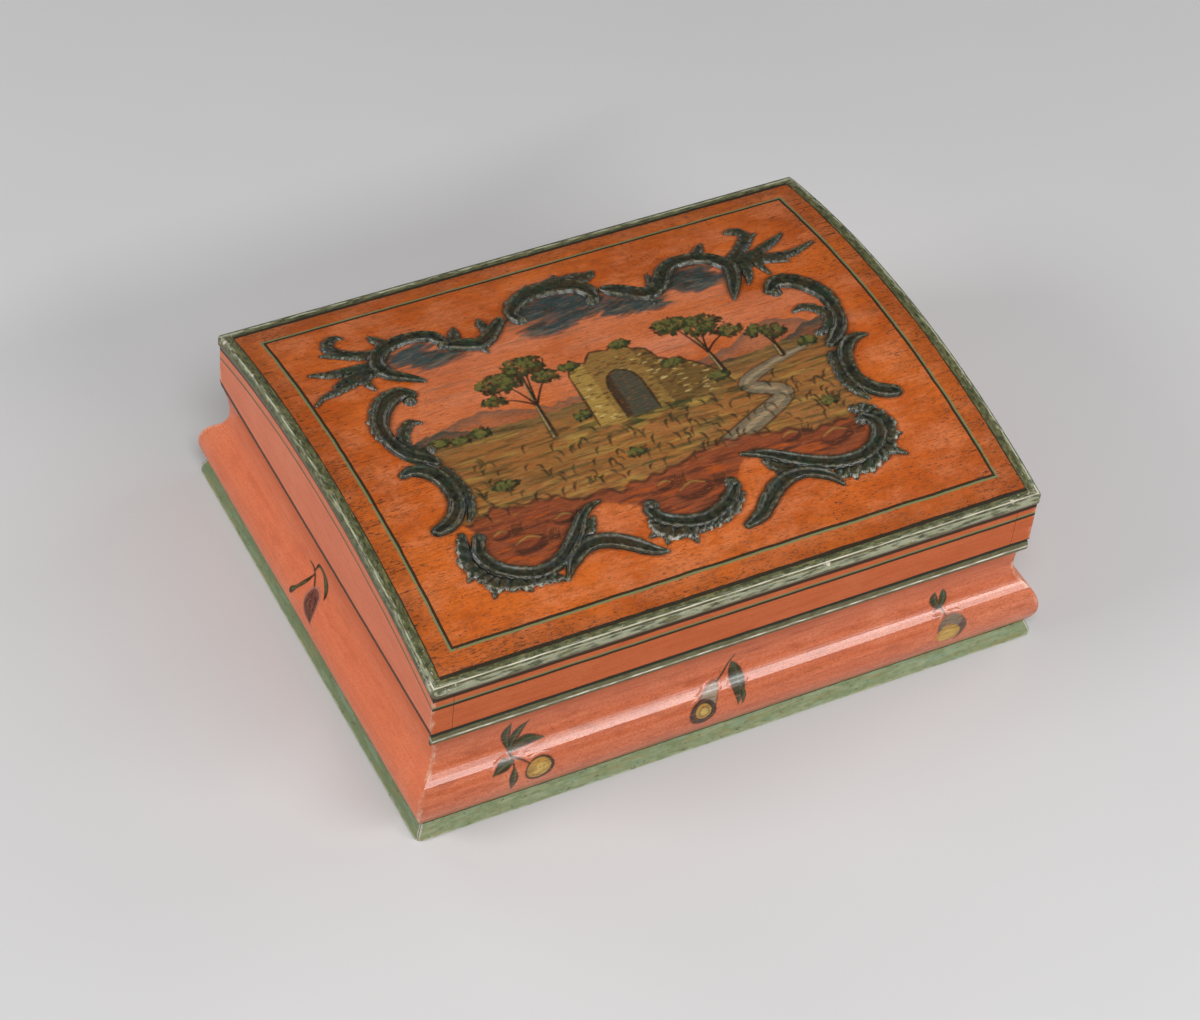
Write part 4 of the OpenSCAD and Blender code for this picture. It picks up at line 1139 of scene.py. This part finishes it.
ARCH_OUTLINE = [
    (-26, -18), (-25, 22), (-20, 31), (-12, 29), (-6, 36), (4, 34), (11, 38), (17, 30), (24, 27), (27, 18),
    (34, 12), (42, 9), (52, -2), (58, -16),
]
ARCH_OPENING = [(-9, -18), (-9, 6), (-6, 14), (1, 18), (8, 14), (11, 6), (11, -18)]
# The stream's points with shares of its half width, and stones in the foreground: middle and half width
STREAM = [(112, -4, 0.3), (84, -10, 0.7), (62, -20, 1.0), (80, -32, 1.1), (58, -44, 1.3), (34, -54, 1.2)]
STONES = [
    (-96, -78, 11), (-72, -69, 7), (-108, -68, 6), (2, -76, 12), (-12, -68, 6), (92, -70, 11), (68, -62, 7),
]


def within(outline, u, v):
    """True for the grid points inside a closed outline."""
    inside = np.zeros(u.shape, bool)
    for (xa, ya), (xb, yb) in zip(outline, outline[1:] + outline[:1]):
        if ya != yb:
            inside ^= ((ya > v) != (yb > v)) & (u < (xb - xa) * (v - ya) / (yb - ya) + xa)
    return inside


# The landscape, painted from back to front; c is the Canvas at work
def paint_clouds(c):
    for x, y, w, h in CLOUDS:
        for _ in range(40):
            at = (x + c.rng.normal(0, 0.45) * w, y + c.rng.normal(0, 0.5) * h)
            size = (w * c.rng.uniform(0.25, 0.6), h * c.rng.uniform(0.2, 0.5))
            tone = c.pick([CLOUD, CLOUD_BLUE, CLOUD_BLUE])
            c.dab(at, size, c.rng.normal(0.12, 0.2), tone, c.rng.uniform(0.3, 0.7))
        for _ in range(7):
            at = (x + c.rng.normal(0, 0.5) * w, y - h * 0.5 + c.rng.normal(0, 0.4) * h)
            c.dab(at, (w * 0.4, 0.9), c.rng.normal(0.1, 0.12), CLOUD_LIGHT, 0.4)


def paint_hills(c):
    u = c.grid_u
    rough = Lumps(5, 9.0)(u, 0 * u)
    ridges = [
        (FAR_HILL, 10 * bell(u, -84, 24) + 16 * bell(u, 96, 26) + 6, 0.7),
        (HILL, 9 * bell(u, -112, 20) + 12 * bell(u, 122, 20) + 1, 0.9),
    ]
    for colour, line, strength in ridges:
        line = line + 1.8 * rough
        inside = ramp(c.grid_v, line + 0.5, line - 0.5) * ramp(c.grid_v, -10, -3)
        fade = 0.5 + 0.5 * ramp(line - c.grid_v, 9, 0)
        c.wash(strength * inside * fade, colour)


def streaks(c, count, box, length, half, colours, strength):
    """Level brush strokes scattered in a box (x from, x to, y from, y to)."""
    for _ in range(count):
        x = c.rng.uniform(box[0], box[1])
        y = c.rng.uniform(box[2], box[3])
        run = c.rng.uniform(*length)
        sag = c.rng.normal(0, 0.5)
        width = c.rng.uniform(*half)
        colour = c.pick(colours)
        points = [[x - run / 2, y, 0.3], [x, y + sag, width], [x + run / 2, y + c.rng.normal(0, 0.6), 0.3]]
        c.stroke(points, colour, strength * c.rng.uniform(0.5, 1.0))


def paint_ground(c):
    """A meadow, a winding stream and a red-brown foreground."""
    u, v = c.grid_u, c.grid_v
    shore = 1 + 2.5 * Lumps(8, 30.0)(u, 0 * u)
    c.wash(0.72 * ramp(v, shore + 0.8, shore - 0.8), MEADOW)
    tones = [MEADOW, MEADOW_DARK, MEADOW_DARK, LEAF, OCHRE]
    streaks(c, 520, (-132, 134, -64, 1), (8, 30), (0.5, 1.2), tones, 0.65)
    for half, tone, strength in [(5.0, UMBER, 0.8), (4.0, WATER, 0.95), (1.2, WATER_LIGHT, 0.6)]:
        c.stroke([[x, y, half * share] for x, y, share in STREAM], tone, strength)
    bank = -57 + 5 * np.sin(u / 21) + 2.5 * Lumps(6, 12.0)(u, 0 * u)
    c.wash(0.92 * ramp(v, bank + 1.0, bank - 1.0), EARTH)
    c.wash(0.8 * ramp(np.abs(v - bank), 1.9, 0.3), EARTH_DARK)
    tones = [EARTH, EARTH_DARK, EARTH_DARK, DEEP_ORANGE]
    streaks(c, 300, (-125, 120, -96, -60), (6, 22), (0.5, 1.4), tones, 0.65)


def foliage(c, x, y, w, h, count):
    """A crown of leaves: dark first, light touches on its upper left."""
    for tone, share, shift in [(LEAF_DARK, 1.2, 0), (LEAF, 0.8, 0.12), (LEAF_LIGHT, 0.3, 0.25)]:
        for _ in range(int(count * share)):
            angle = c.rng.uniform(0, 2 * math.pi)
            reach = math.sqrt(c.rng.uniform(0, 1)) * (1 - shift)
            at = (x + w * (reach * math.cos(angle) - shift * 0.7), y + h * (reach * math.sin(angle) + shift))
            size = (c.rng.uniform(1.0, 2.6), c.rng.uniform(0.7, 1.4))
            c.dab(at, size, c.rng.uniform(0, math.pi), tone, c.rng.uniform(0.6, 1.0))


def paint_trees(c):
    """Trees with a dark trunk, a lit edge and crowns, then shrubs."""
    for x, foot, top, lean, crowns in TREES:
        middle = (foot + top) / 2
        trunk = [[x, foot, 2.2], [x + lean * 0.3, middle, 1.4], [x + lean, top, 0.7]]
        c.stroke(trunk, TRUNK)
        c.stroke([[px - 0.7, py, pw * 0.3] for px, py, pw in trunk], STRAW, 0.5)
        for cx, cy, cw, ch in crowns:
            bend = [(x + cx) / 2 + lean * 0.3, (middle + cy) / 2 + 2, 0.6]
            c.stroke([[x + lean * 0.4, middle, 0.8], bend, [cx, cy, 0.4]], TRUNK)
            foliage(c, cx, cy, cw, ch, int(cw * ch * 0.8))
    for x, y in SHRUBS:
        foliage(c, x, y, c.rng.uniform(5, 8), c.rng.uniform(2.4, 3.6), 30)


def paint_ruin(c):
    """A broken masonry arch and wall on a knoll."""
    for _ in range(120):
        at = (8 + c.rng.normal(0, 26), -17 + c.rng.normal(0, 4))
        tone = c.pick([OCHRE, MEADOW_DARK, LEAF, MEADOW])
        c.dab(at, (7, 2.0), c.rng.normal(0, 0.1), tone, 0.6)
    c.fill(ARCH_OUTLINE, WALL, 0.97)
    c.fill([*ARCH_OUTLINE[:3], (-14, 29), (-13, -18)], OCHRE, 0.8)
    c.fill([(16, 30), *ARCH_OUTLINE[8:], (20, -18)], TRUNK, 0.45)
    c.fill(ARCH_OPENING, HILL, 0.9)
    c.fill([*ARCH_OPENING[:3], (-4, 15), (-5, -18)], UMBER, 0.9)
    for _ in range(260):
        at = np.array((c.rng.uniform(-25, 52), c.rng.uniform(-16, 30)))
        if within(ARCH_OUTLINE, *at) and not within(ARCH_OPENING, *at):
            tone = c.pick([STRAW, OCHRE, TRUNK, UMBER])
            c.dab(at, (c.rng.uniform(1.2, 2.6), 0.6), c.rng.normal(0, 0.15), tone, 0.6)
    for outline in (ARCH_OUTLINE, ARCH_OPENING):
        for (xa, ya), (xb, yb) in zip(outline, outline[1:]):
            c.stroke([[xa, ya, 0.5], [(xa + xb) / 2, (ya + yb) / 2 + 0.4, 0.9], [xb, yb, 0.4]], TRUNK, 0.85)
    for shrub in RUIN_SHRUBS:
        foliage(c, *shrub, 34)


def paint_grass(c):
    """Curved blades over the meadow, and stones and tufts in the foreground."""
    for _ in range(170):
        x = c.rng.uniform(-126, 122)
        y = c.rng.uniform(-58, -20)
        turn = c.pick([-1, 1])
        tall = c.rng.uniform(3.0, 6.5)
        tone = c.pick([LEAF_DARK, MEADOW_DARK, UMBER])
        blade = [[x, y, 0.35], [x + turn * 0.6, y + tall * 0.7, 0.8], [x + turn * 2.6, y + tall, 0.3]]
        c.stroke(blade, tone, 0.85)
        c.stroke([[x + 1.2, y - 0.6, 0.3], [x + 3.4, y - 0.4, 0.5], [x + 5.5, y - 0.7, 0.2]], OCHRE, 0.25)
    for x, y, r in STONES:
        c.dab((x, y), (r, r * 0.5), 0.1, EARTH_DARK, 0.85)
        c.dab((x - r * 0.15, y + r * 0.14), (r * 0.75, r * 0.28), 0.1, EARTH, 0.8)
        lit = [[x - r * 0.7, y + r * 0.2, 0.3], [x, y + r * 0.46, 0.6], [x + r * 0.6, y + r * 0.25, 0.3]]
        c.stroke(lit, OCHRE, 0.6)
        for number in range(5):
            foot = x + r + number * 1.3
            tip = [foot + 1.8, y + c.rng.uniform(3, 6), 0.2]
            c.stroke([[foot, y - 2, 0.4], [foot + 0.4, y + 1, 0.5], tip], TRUNK, 0.85)


SCROLL_SHADE_REACH = 2.6


def relief_shade_and_dirt(u, v):
    """Painted shade and dirt beside the scrolls: 1 at their edges, 0 a few millimetres off."""
    shade = np.zeros(u.shape)
    for strokes in RELIEF.values():
        for points in strokes["bands"] + strokes["leaves"] + strokes["ruffles"]:
            p = np.array(points)
            reach = p[:, 2].max() + SCROLL_SHADE_REACH
            near = (u > p[:, 0].min() - reach) & (u < p[:, 0].max() + reach)
            near &= (v > p[:, 1].min() - reach) & (v < p[:, 1].max() + reach)
            t, _, _, half = along_stroke(points, u[near], v[near], STROKE_STEPS)
            shade[near] = np.maximum(shade[near], ramp((t - 1) * half, SCROLL_SHADE_REACH, -0.3) ** 1.5)
    return np.clip(shade * (0.75 + 0.35 * Lumps(13, 9.0)(u, v)), 0, 1)


PICTURE_LOW = (-162, -110)
PICTURE_HIGH = (160, 111)
PICTURE_STEP = 0.6
PICTURE_SEED = 21
PICTURE_FULL = 0.20
PICTURE_FLOOR = -0.15
RIM_BLUR = 2.4


def make_picture(material):
    """The landscape inside the scroll frame, and the painted shade and dirt beside the scrolls, as one thin
    film.
    """
    c = Canvas(PICTURE_LOW, PICTURE_HIGH, PICTURE_STEP, PICTURE_SEED)
    u, v = c.grid_u, c.grid_v
    c.wash(ramp(v, -2, 20) * (0.42 + 0.25 * Lumps(9, 22.0)(u * 0.3, v)), PALE_SALMON)
    tones = [PALE_SALMON, SALMON, DEEP_ORANGE, CLOUD_LIGHT]
    streaks(c, 120, (-105, 105, 6, 74), (14, 44), (0.4, 0.9), tones, 0.4)
    for paint_layer in (paint_clouds, paint_hills, paint_ground, paint_trees, paint_ruin, paint_grass):
        paint_layer(c)
    rim = blurred(within(PICTURE_RIM, u, v).astype(float), RIM_BLUR, PICTURE_STEP)
    shade = relief_shade_and_dirt(u, v)
    # Painted shade and dirt beside the scrolls, over the landscape
    c.wash(0.75 * shade, SCROLL_SHADE_AND_DIRT)
    paint = c.paint()
    inside = ramp(rim + 0.12 * Lumps(19, 5.0)(u, v), 0.25, 0.75)
    # Outside the picture the film holds only the painted shade and dirt beside the scrolls
    paint[..., :3] = np.where((inside > 0.02)[..., None], paint[..., :3], np.array(DIRT))
    paint[..., 3] = inside * paint[..., 3] + (1 - inside) * 0.8 * shade
    cover = np.maximum(rim, shade)
    keep = np.maximum(cover[:-1, :-1], cover[1:, 1:]) > FILM_START
    piece = c.film("picture", paint, cover, PICTURE_FULL, keep, PICTURE_FLOOR, on_panel, material)
    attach(piece, "lid")


# Fruit sprigs on the walls
FRUIT = (0.42, 0.235, 0.045)
FRUIT_LIGHT = (0.62, 0.42, 0.10)
FRUIT_DARK = (0.11, 0.05, 0.018)
FRUIT_RIM = (0.030, 0.016, 0.008)
SPRIG_LEAF = (0.030, 0.042, 0.014)
SPRIG_LEAF_LIGHT = (0.10, 0.13, 0.05)
PEAR = (0.30, 0.235, 0.16)
PEAR_DARK = (0.085, 0.060, 0.045)
BUD = (0.17, 0.055, 0.042)
BUD_LIGHT = (0.36, 0.17, 0.13)
CRISP = (1.12, 0.86)


def sprig_leaf(c, start, middle, end, half):
    """A leaf with a light side and a dark rim."""
    c.stroke([[*start, 0.4], [*middle, half], [*end, 0.3]], LEAF_DARK, 0.95)
    inner = [[*start, 0.2], [middle[0] + 0.3, middle[1] + 0.2, half * 0.62], [*end, 0.1]]
    c.stroke(inner, SPRIG_LEAF, 0.95)
    c.stroke([[*start, 0.2], [middle[0] + half * 0.3, middle[1], 0.45], [*end, 0.2]], SPRIG_LEAF_LIGHT, 0.6)


def sprig_fruit(c, at, size, turn):
    """A round fruit with a dark rim and a lit middle."""
    c.dab(at, (size[0] * 1.16, size[1] * 1.18), turn, FRUIT_RIM, 0.97, CRISP)
    c.dab((at[0] - 0.5, at[1] + 0.3), (size[0] * 0.95, size[1] * 0.95), turn, FRUIT, 0.97, CRISP)
    c.dab((at[0] + 0.8, at[1] - 0.4), (size[0] * 0.6, size[1] * 0.6), turn, FRUIT_LIGHT, 0.55)
    for _ in range(30):
        spot = (at[0] + c.rng.normal(0, 0.4) * size[0], at[1] + c.rng.normal(0, 0.4) * size[1])
        c.dab(spot, (0.8, 0.5), c.rng.uniform(0, 3), c.pick([FRUIT_LIGHT, FRUIT_DARK, FRUIT]), 0.35)


def sprig_left(c):
    c.stroke([[-134.5, 40, 0.6], [-133.5, 36, 0.6], [-133.5, 32, 0.4]], LEAF_DARK)
    c.stroke([[-134, 38, 0.5], [-128, 35, 0.5], [-124, 32, 0.4]], LEAF_DARK)
    sprig_leaf(c, (-134.5, 40), (-134.5, 48), (-131.5, 56), 2.9)
    sprig_leaf(c, (-134, 40), (-128.5, 47), (-121, 54), 2.6)
    sprig_leaf(c, (-133.5, 39.5), (-124, 42.5), (-113.5, 41), 2.7)
    sprig_leaf(c, (-133, 36), (-139, 35), (-146, 32), 2.8)
    sprig_leaf(c, (-133.5, 33), (-134.5, 27), (-136, 20), 2.7)
    sprig_fruit(c, (-119.2, 28), (7.6, 5.6), 0.2)


def sprig_middle(c):
    c.stroke([[1.5, 52, 0.3], [-2, 48, 0.5], [-6.5, 43, 0.5], [-12.5, 39, 0.5]], LEAF_DARK)
    sprig_leaf(c, (-0.8, 47.5), (0.6, 39), (-0.8, 26.5), 4.6)
    sprig_leaf(c, (2.0, 36), (2.6, 31), (1.6, 26), 1.6)
    c.stroke([[-13, 39, 2.4], [-15.5, 36.5, 3.8], [-19, 32.5, 5.6]], FRUIT_DARK, 0.75)
    c.stroke([[-13, 38.6, 1.6], [-15.4, 36.3, 3.0], [-18.4, 33, 4.4]], PEAR, 0.85)
    c.dab((-22.2, 28), (8.3, 7.0), 0.25, FRUIT_RIM, 0.97, CRISP)
    c.dab((-21.6, 28.6), (6.6, 5.6), 0.25, PEAR_DARK, 0.8)
    sprig_fruit(c, (-21.4, 28.4), (5.0, 4.5), 0.2)
    c.dab((-21.4, 28.4), (3.4, 3.0), 0.2, FRUIT_DARK, 0.7)
    c.dab((-21.4, 28.4), (2.6, 2.2), 0.2, FRUIT_LIGHT, 0.8)


def sprig_right(c):
    sprig_leaf(c, (127.5, 39.5), (125, 43.5), (126, 48), 2.8)
    sprig_leaf(c, (128, 39.5), (130.8, 44), (131, 48.8), 2.5)
    c.stroke([[124, 39, 0.4], [128, 40, 0.5], [130, 36, 0.4]], LEAF_DARK)
    c.dab((133, 29.0), (9.4, 7.0), 0.1, PEAR_DARK, 0.95, CRISP)
    c.dab((133, 32.5), (7.6, 3.6), 0.1, PEAR, 0.5)
    c.dab((130.6, 26), (7.4, 5.0), 0.15, FRUIT, 0.97, CRISP)
    c.dab((129.8, 25), (5.6, 3.6), 0.15, FRUIT_LIGHT, 0.5)
    c.stroke([[139.5, 28, 0.6], [138, 23, 0.7], [134.5, 20, 0.4]], FRUIT_DARK, 0.85)


def sprig_side(c):
    """A hanging bud between two thin leaves, round run 0."""
    c.stroke([[-19, 45.5, 0.3], [-15, 45.5, 0.6], [-12, 44.5, 0.7], [-7, 41, 0.6], [-3, 38, 0.6]], LEAF_DARK)
    leaf = [[-12, 45, 0.6], [-10, 50, 1.1], [-4, 50.5, 1.7], [1, 47, 2.2], [5, 42.5, 1.2], [6, 40.5, 0.4]]
    c.stroke(leaf, LEAF_DARK)
    c.stroke([[-9, 50, 0.5], [-3.5, 50.3, 1.0], [0.6, 47, 1.2], [4.4, 43, 0.4]], SPRIG_LEAF_LIGHT, 0.75)
    c.stroke([[-11, 43, 0.5], [-12.5, 38, 1.2], [-15, 33, 1.0], [-18, 28.5, 1.8], [-19, 26, 0.5]], LEAF_DARK)
    c.stroke([[-12.4, 38, 0.5], [-15, 33, 0.5], [-17.6, 29, 0.8]], SPRIG_LEAF_LIGHT, 0.75)
    c.stroke([[-4, 39, 1.8], [-1, 35.8, 5.6], [2.5, 32.4, 5.4], [8, 27, 0.5]], BUD_LIGHT, 0.7)
    c.stroke([[-3.6, 38.6, 1.2], [-0.6, 35.4, 4.7], [2.6, 32.3, 4.6], [7.7, 27.2, 0.4]], BUD, 0.97)
    for shift in (-2.4, 0.0, 2.4):
        c.stroke([[-3, 38, 0.3], [0.6 + shift, 34.4 + shift, 0.55], [7, 28, 0.3]], UMBER, 0.85)


SPRIG_SPAN = 22.0
SPRIG_LOW = 12.0
SPRIG_HIGH = 61.0
SPRIG_STEP = 0.4
SPRIG_SEED = 31
SPRIG_BLUR = 0.9
SPRIG_FULL = 0.14
SPRIG_FLOOR = -0.3


def make_sprig(name, side, middle, draw, material):
    """A film with one sprig on a wall; middle is its place along the wall."""
    c = Canvas((middle - SPRIG_SPAN, SPRIG_LOW), (middle + SPRIG_SPAN, SPRIG_HIGH), SPRIG_STEP, SPRIG_SEED)
    draw(c)
    cover = blurred(c.cover, SPRIG_BLUR, SPRIG_STEP)
    keep = (cover[:-1, :-1] + cover[1:, 1:]) / 2 > FILM_START
    piece = c.film(name, c.paint(), cover, SPRIG_FULL, keep, SPRIG_FLOOR, on_wall(side), material)
    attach(piece, "base")


# Finishes of the solids
WELD_REACH = 0.00001


def named(start):
    return [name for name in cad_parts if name.startswith(start)]


def dress(names, material):
    """Gives carried-over nodes a finish and welds their meshes."""
    for name in names:
        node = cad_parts[name]
        node.data.materials.clear()
        node.data.materials.append(material)
        weld = node.modifiers.new("weld", "WELD")
        weld.merge_threshold = WELD_REACH


# Studio, in metres
FLOOR_REACH = 6.0
FLOOR_GREY = (0.58, 0.575, 0.575)
FLOOR_PALE = (0.62, 0.615, 0.615)
SKY = (0.86, 0.87, 0.90)
SKY_STRENGTH = 0.12
# Soft rectangular lights that look at the box: name, place, size and power
LIGHTS = [
    ("key", (0.72, -1.51, 1.10), (1.7, 0.08), 22),
    ("main", (-0.5, -1.3, 2.1), (0.9, 0.9), 24),
    ("left", (-2.0, 0.3, 1.2), (1.0, 0.8), 26),
    ("right", (2.0, 0.2, 1.1), (1.0, 0.8), 8),
    ("back", (-0.8, 2.0, 0.9), (1.4, 0.8), 7),
]


def make_floor():
    s = Shader("floor", FLOOR_GREY)
    s.lay(FLOOR_PALE, s.noise(0.004, detail=2))
    r = FLOOR_REACH
    mesh = bpy.data.meshes.new("floor")
    mesh.from_pydata([(-r, -r, 0), (r, -r, 0), (r, r, 0), (-r, r, 0)], [], [(0, 1, 2, 3)])
    mesh.materials.append(s.finish(s.between(0.75, 0.85, s.noise(0.02))))
    floor = add_object("floor", mesh)


def make_lights():
    world = bpy.data.worlds.new("studio")
    world.use_nodes = True
    background = world.node_tree.nodes["Background"]
    background.inputs["Color"].default_value = (*SKY, 1)
    background.inputs["Strength"].default_value = SKY_STRENGTH
    bpy.context.scene.world = world
    for name, place, size, power in LIGHTS:
        data = bpy.data.lights.new(name, "AREA")
        data.shape = "RECTANGLE"
        data.size, data.size_y = size
        data.energy = power
        light = add_object(name, data)
        light.location = place
        light.rotation_euler = Vector(place).to_track_quat("Z", "Y").to_euler()


make_camera()
make_floor()
make_lights()
bpy.context.scene.view_settings.view_transform = "Standard"

dress(named("lid_stave"), make_red_lacquer())
dress(["base_wall_front", "base_wall_back"], make_salmon_lacquer("salmon_lacquer", SALMON_GLOSS))
matt_nodes = named("lid_rail") + ["base_wall_left", "base_wall_right"]
dress(matt_nodes, make_salmon_lacquer("salmon_matt", SALMON_MATT))
dress(named("lid_edge"), make_green_edge())
dress(["front_bead"], make_green_bead())
dress(named("plinth"), make_green_plinth())
dress(["bottom_board"], make_bare_wood())
dress(named("hinge"), make_metal("brass", BRASS, BRASS_TARNISH, 1.0))
dress(["bottom_nails"], make_metal("iron", IRON, IRON_RUST, 0.9))

gesso = make_relief_gesso()
for relief_name, relief_strokes in RELIEF.items():
    make_relief(relief_name, relief_strokes, gesso)
make_picture(painted_over("painted_red", red_lacquer, RED_GLOSS))
sprig_material = painted_over("painted_salmon", salmon_lacquer, SALMON_GLOSS)
side_sprig_material = painted_over("painted_matt", salmon_lacquer, SALMON_MATT)
make_sprig("sprig_front_left", "front", -129.0, sprig_left, sprig_material)
make_sprig("sprig_front_middle", "front", -12.0, sprig_middle, sprig_material)
make_sprig("sprig_front_right", "front", 130.0, sprig_right, sprig_material)
make_sprig("sprig_left", "left", 0.0, sprig_side, side_sprig_material)
make_sprig("sprig_right", "right", 0.0, sprig_side, side_sprig_material)
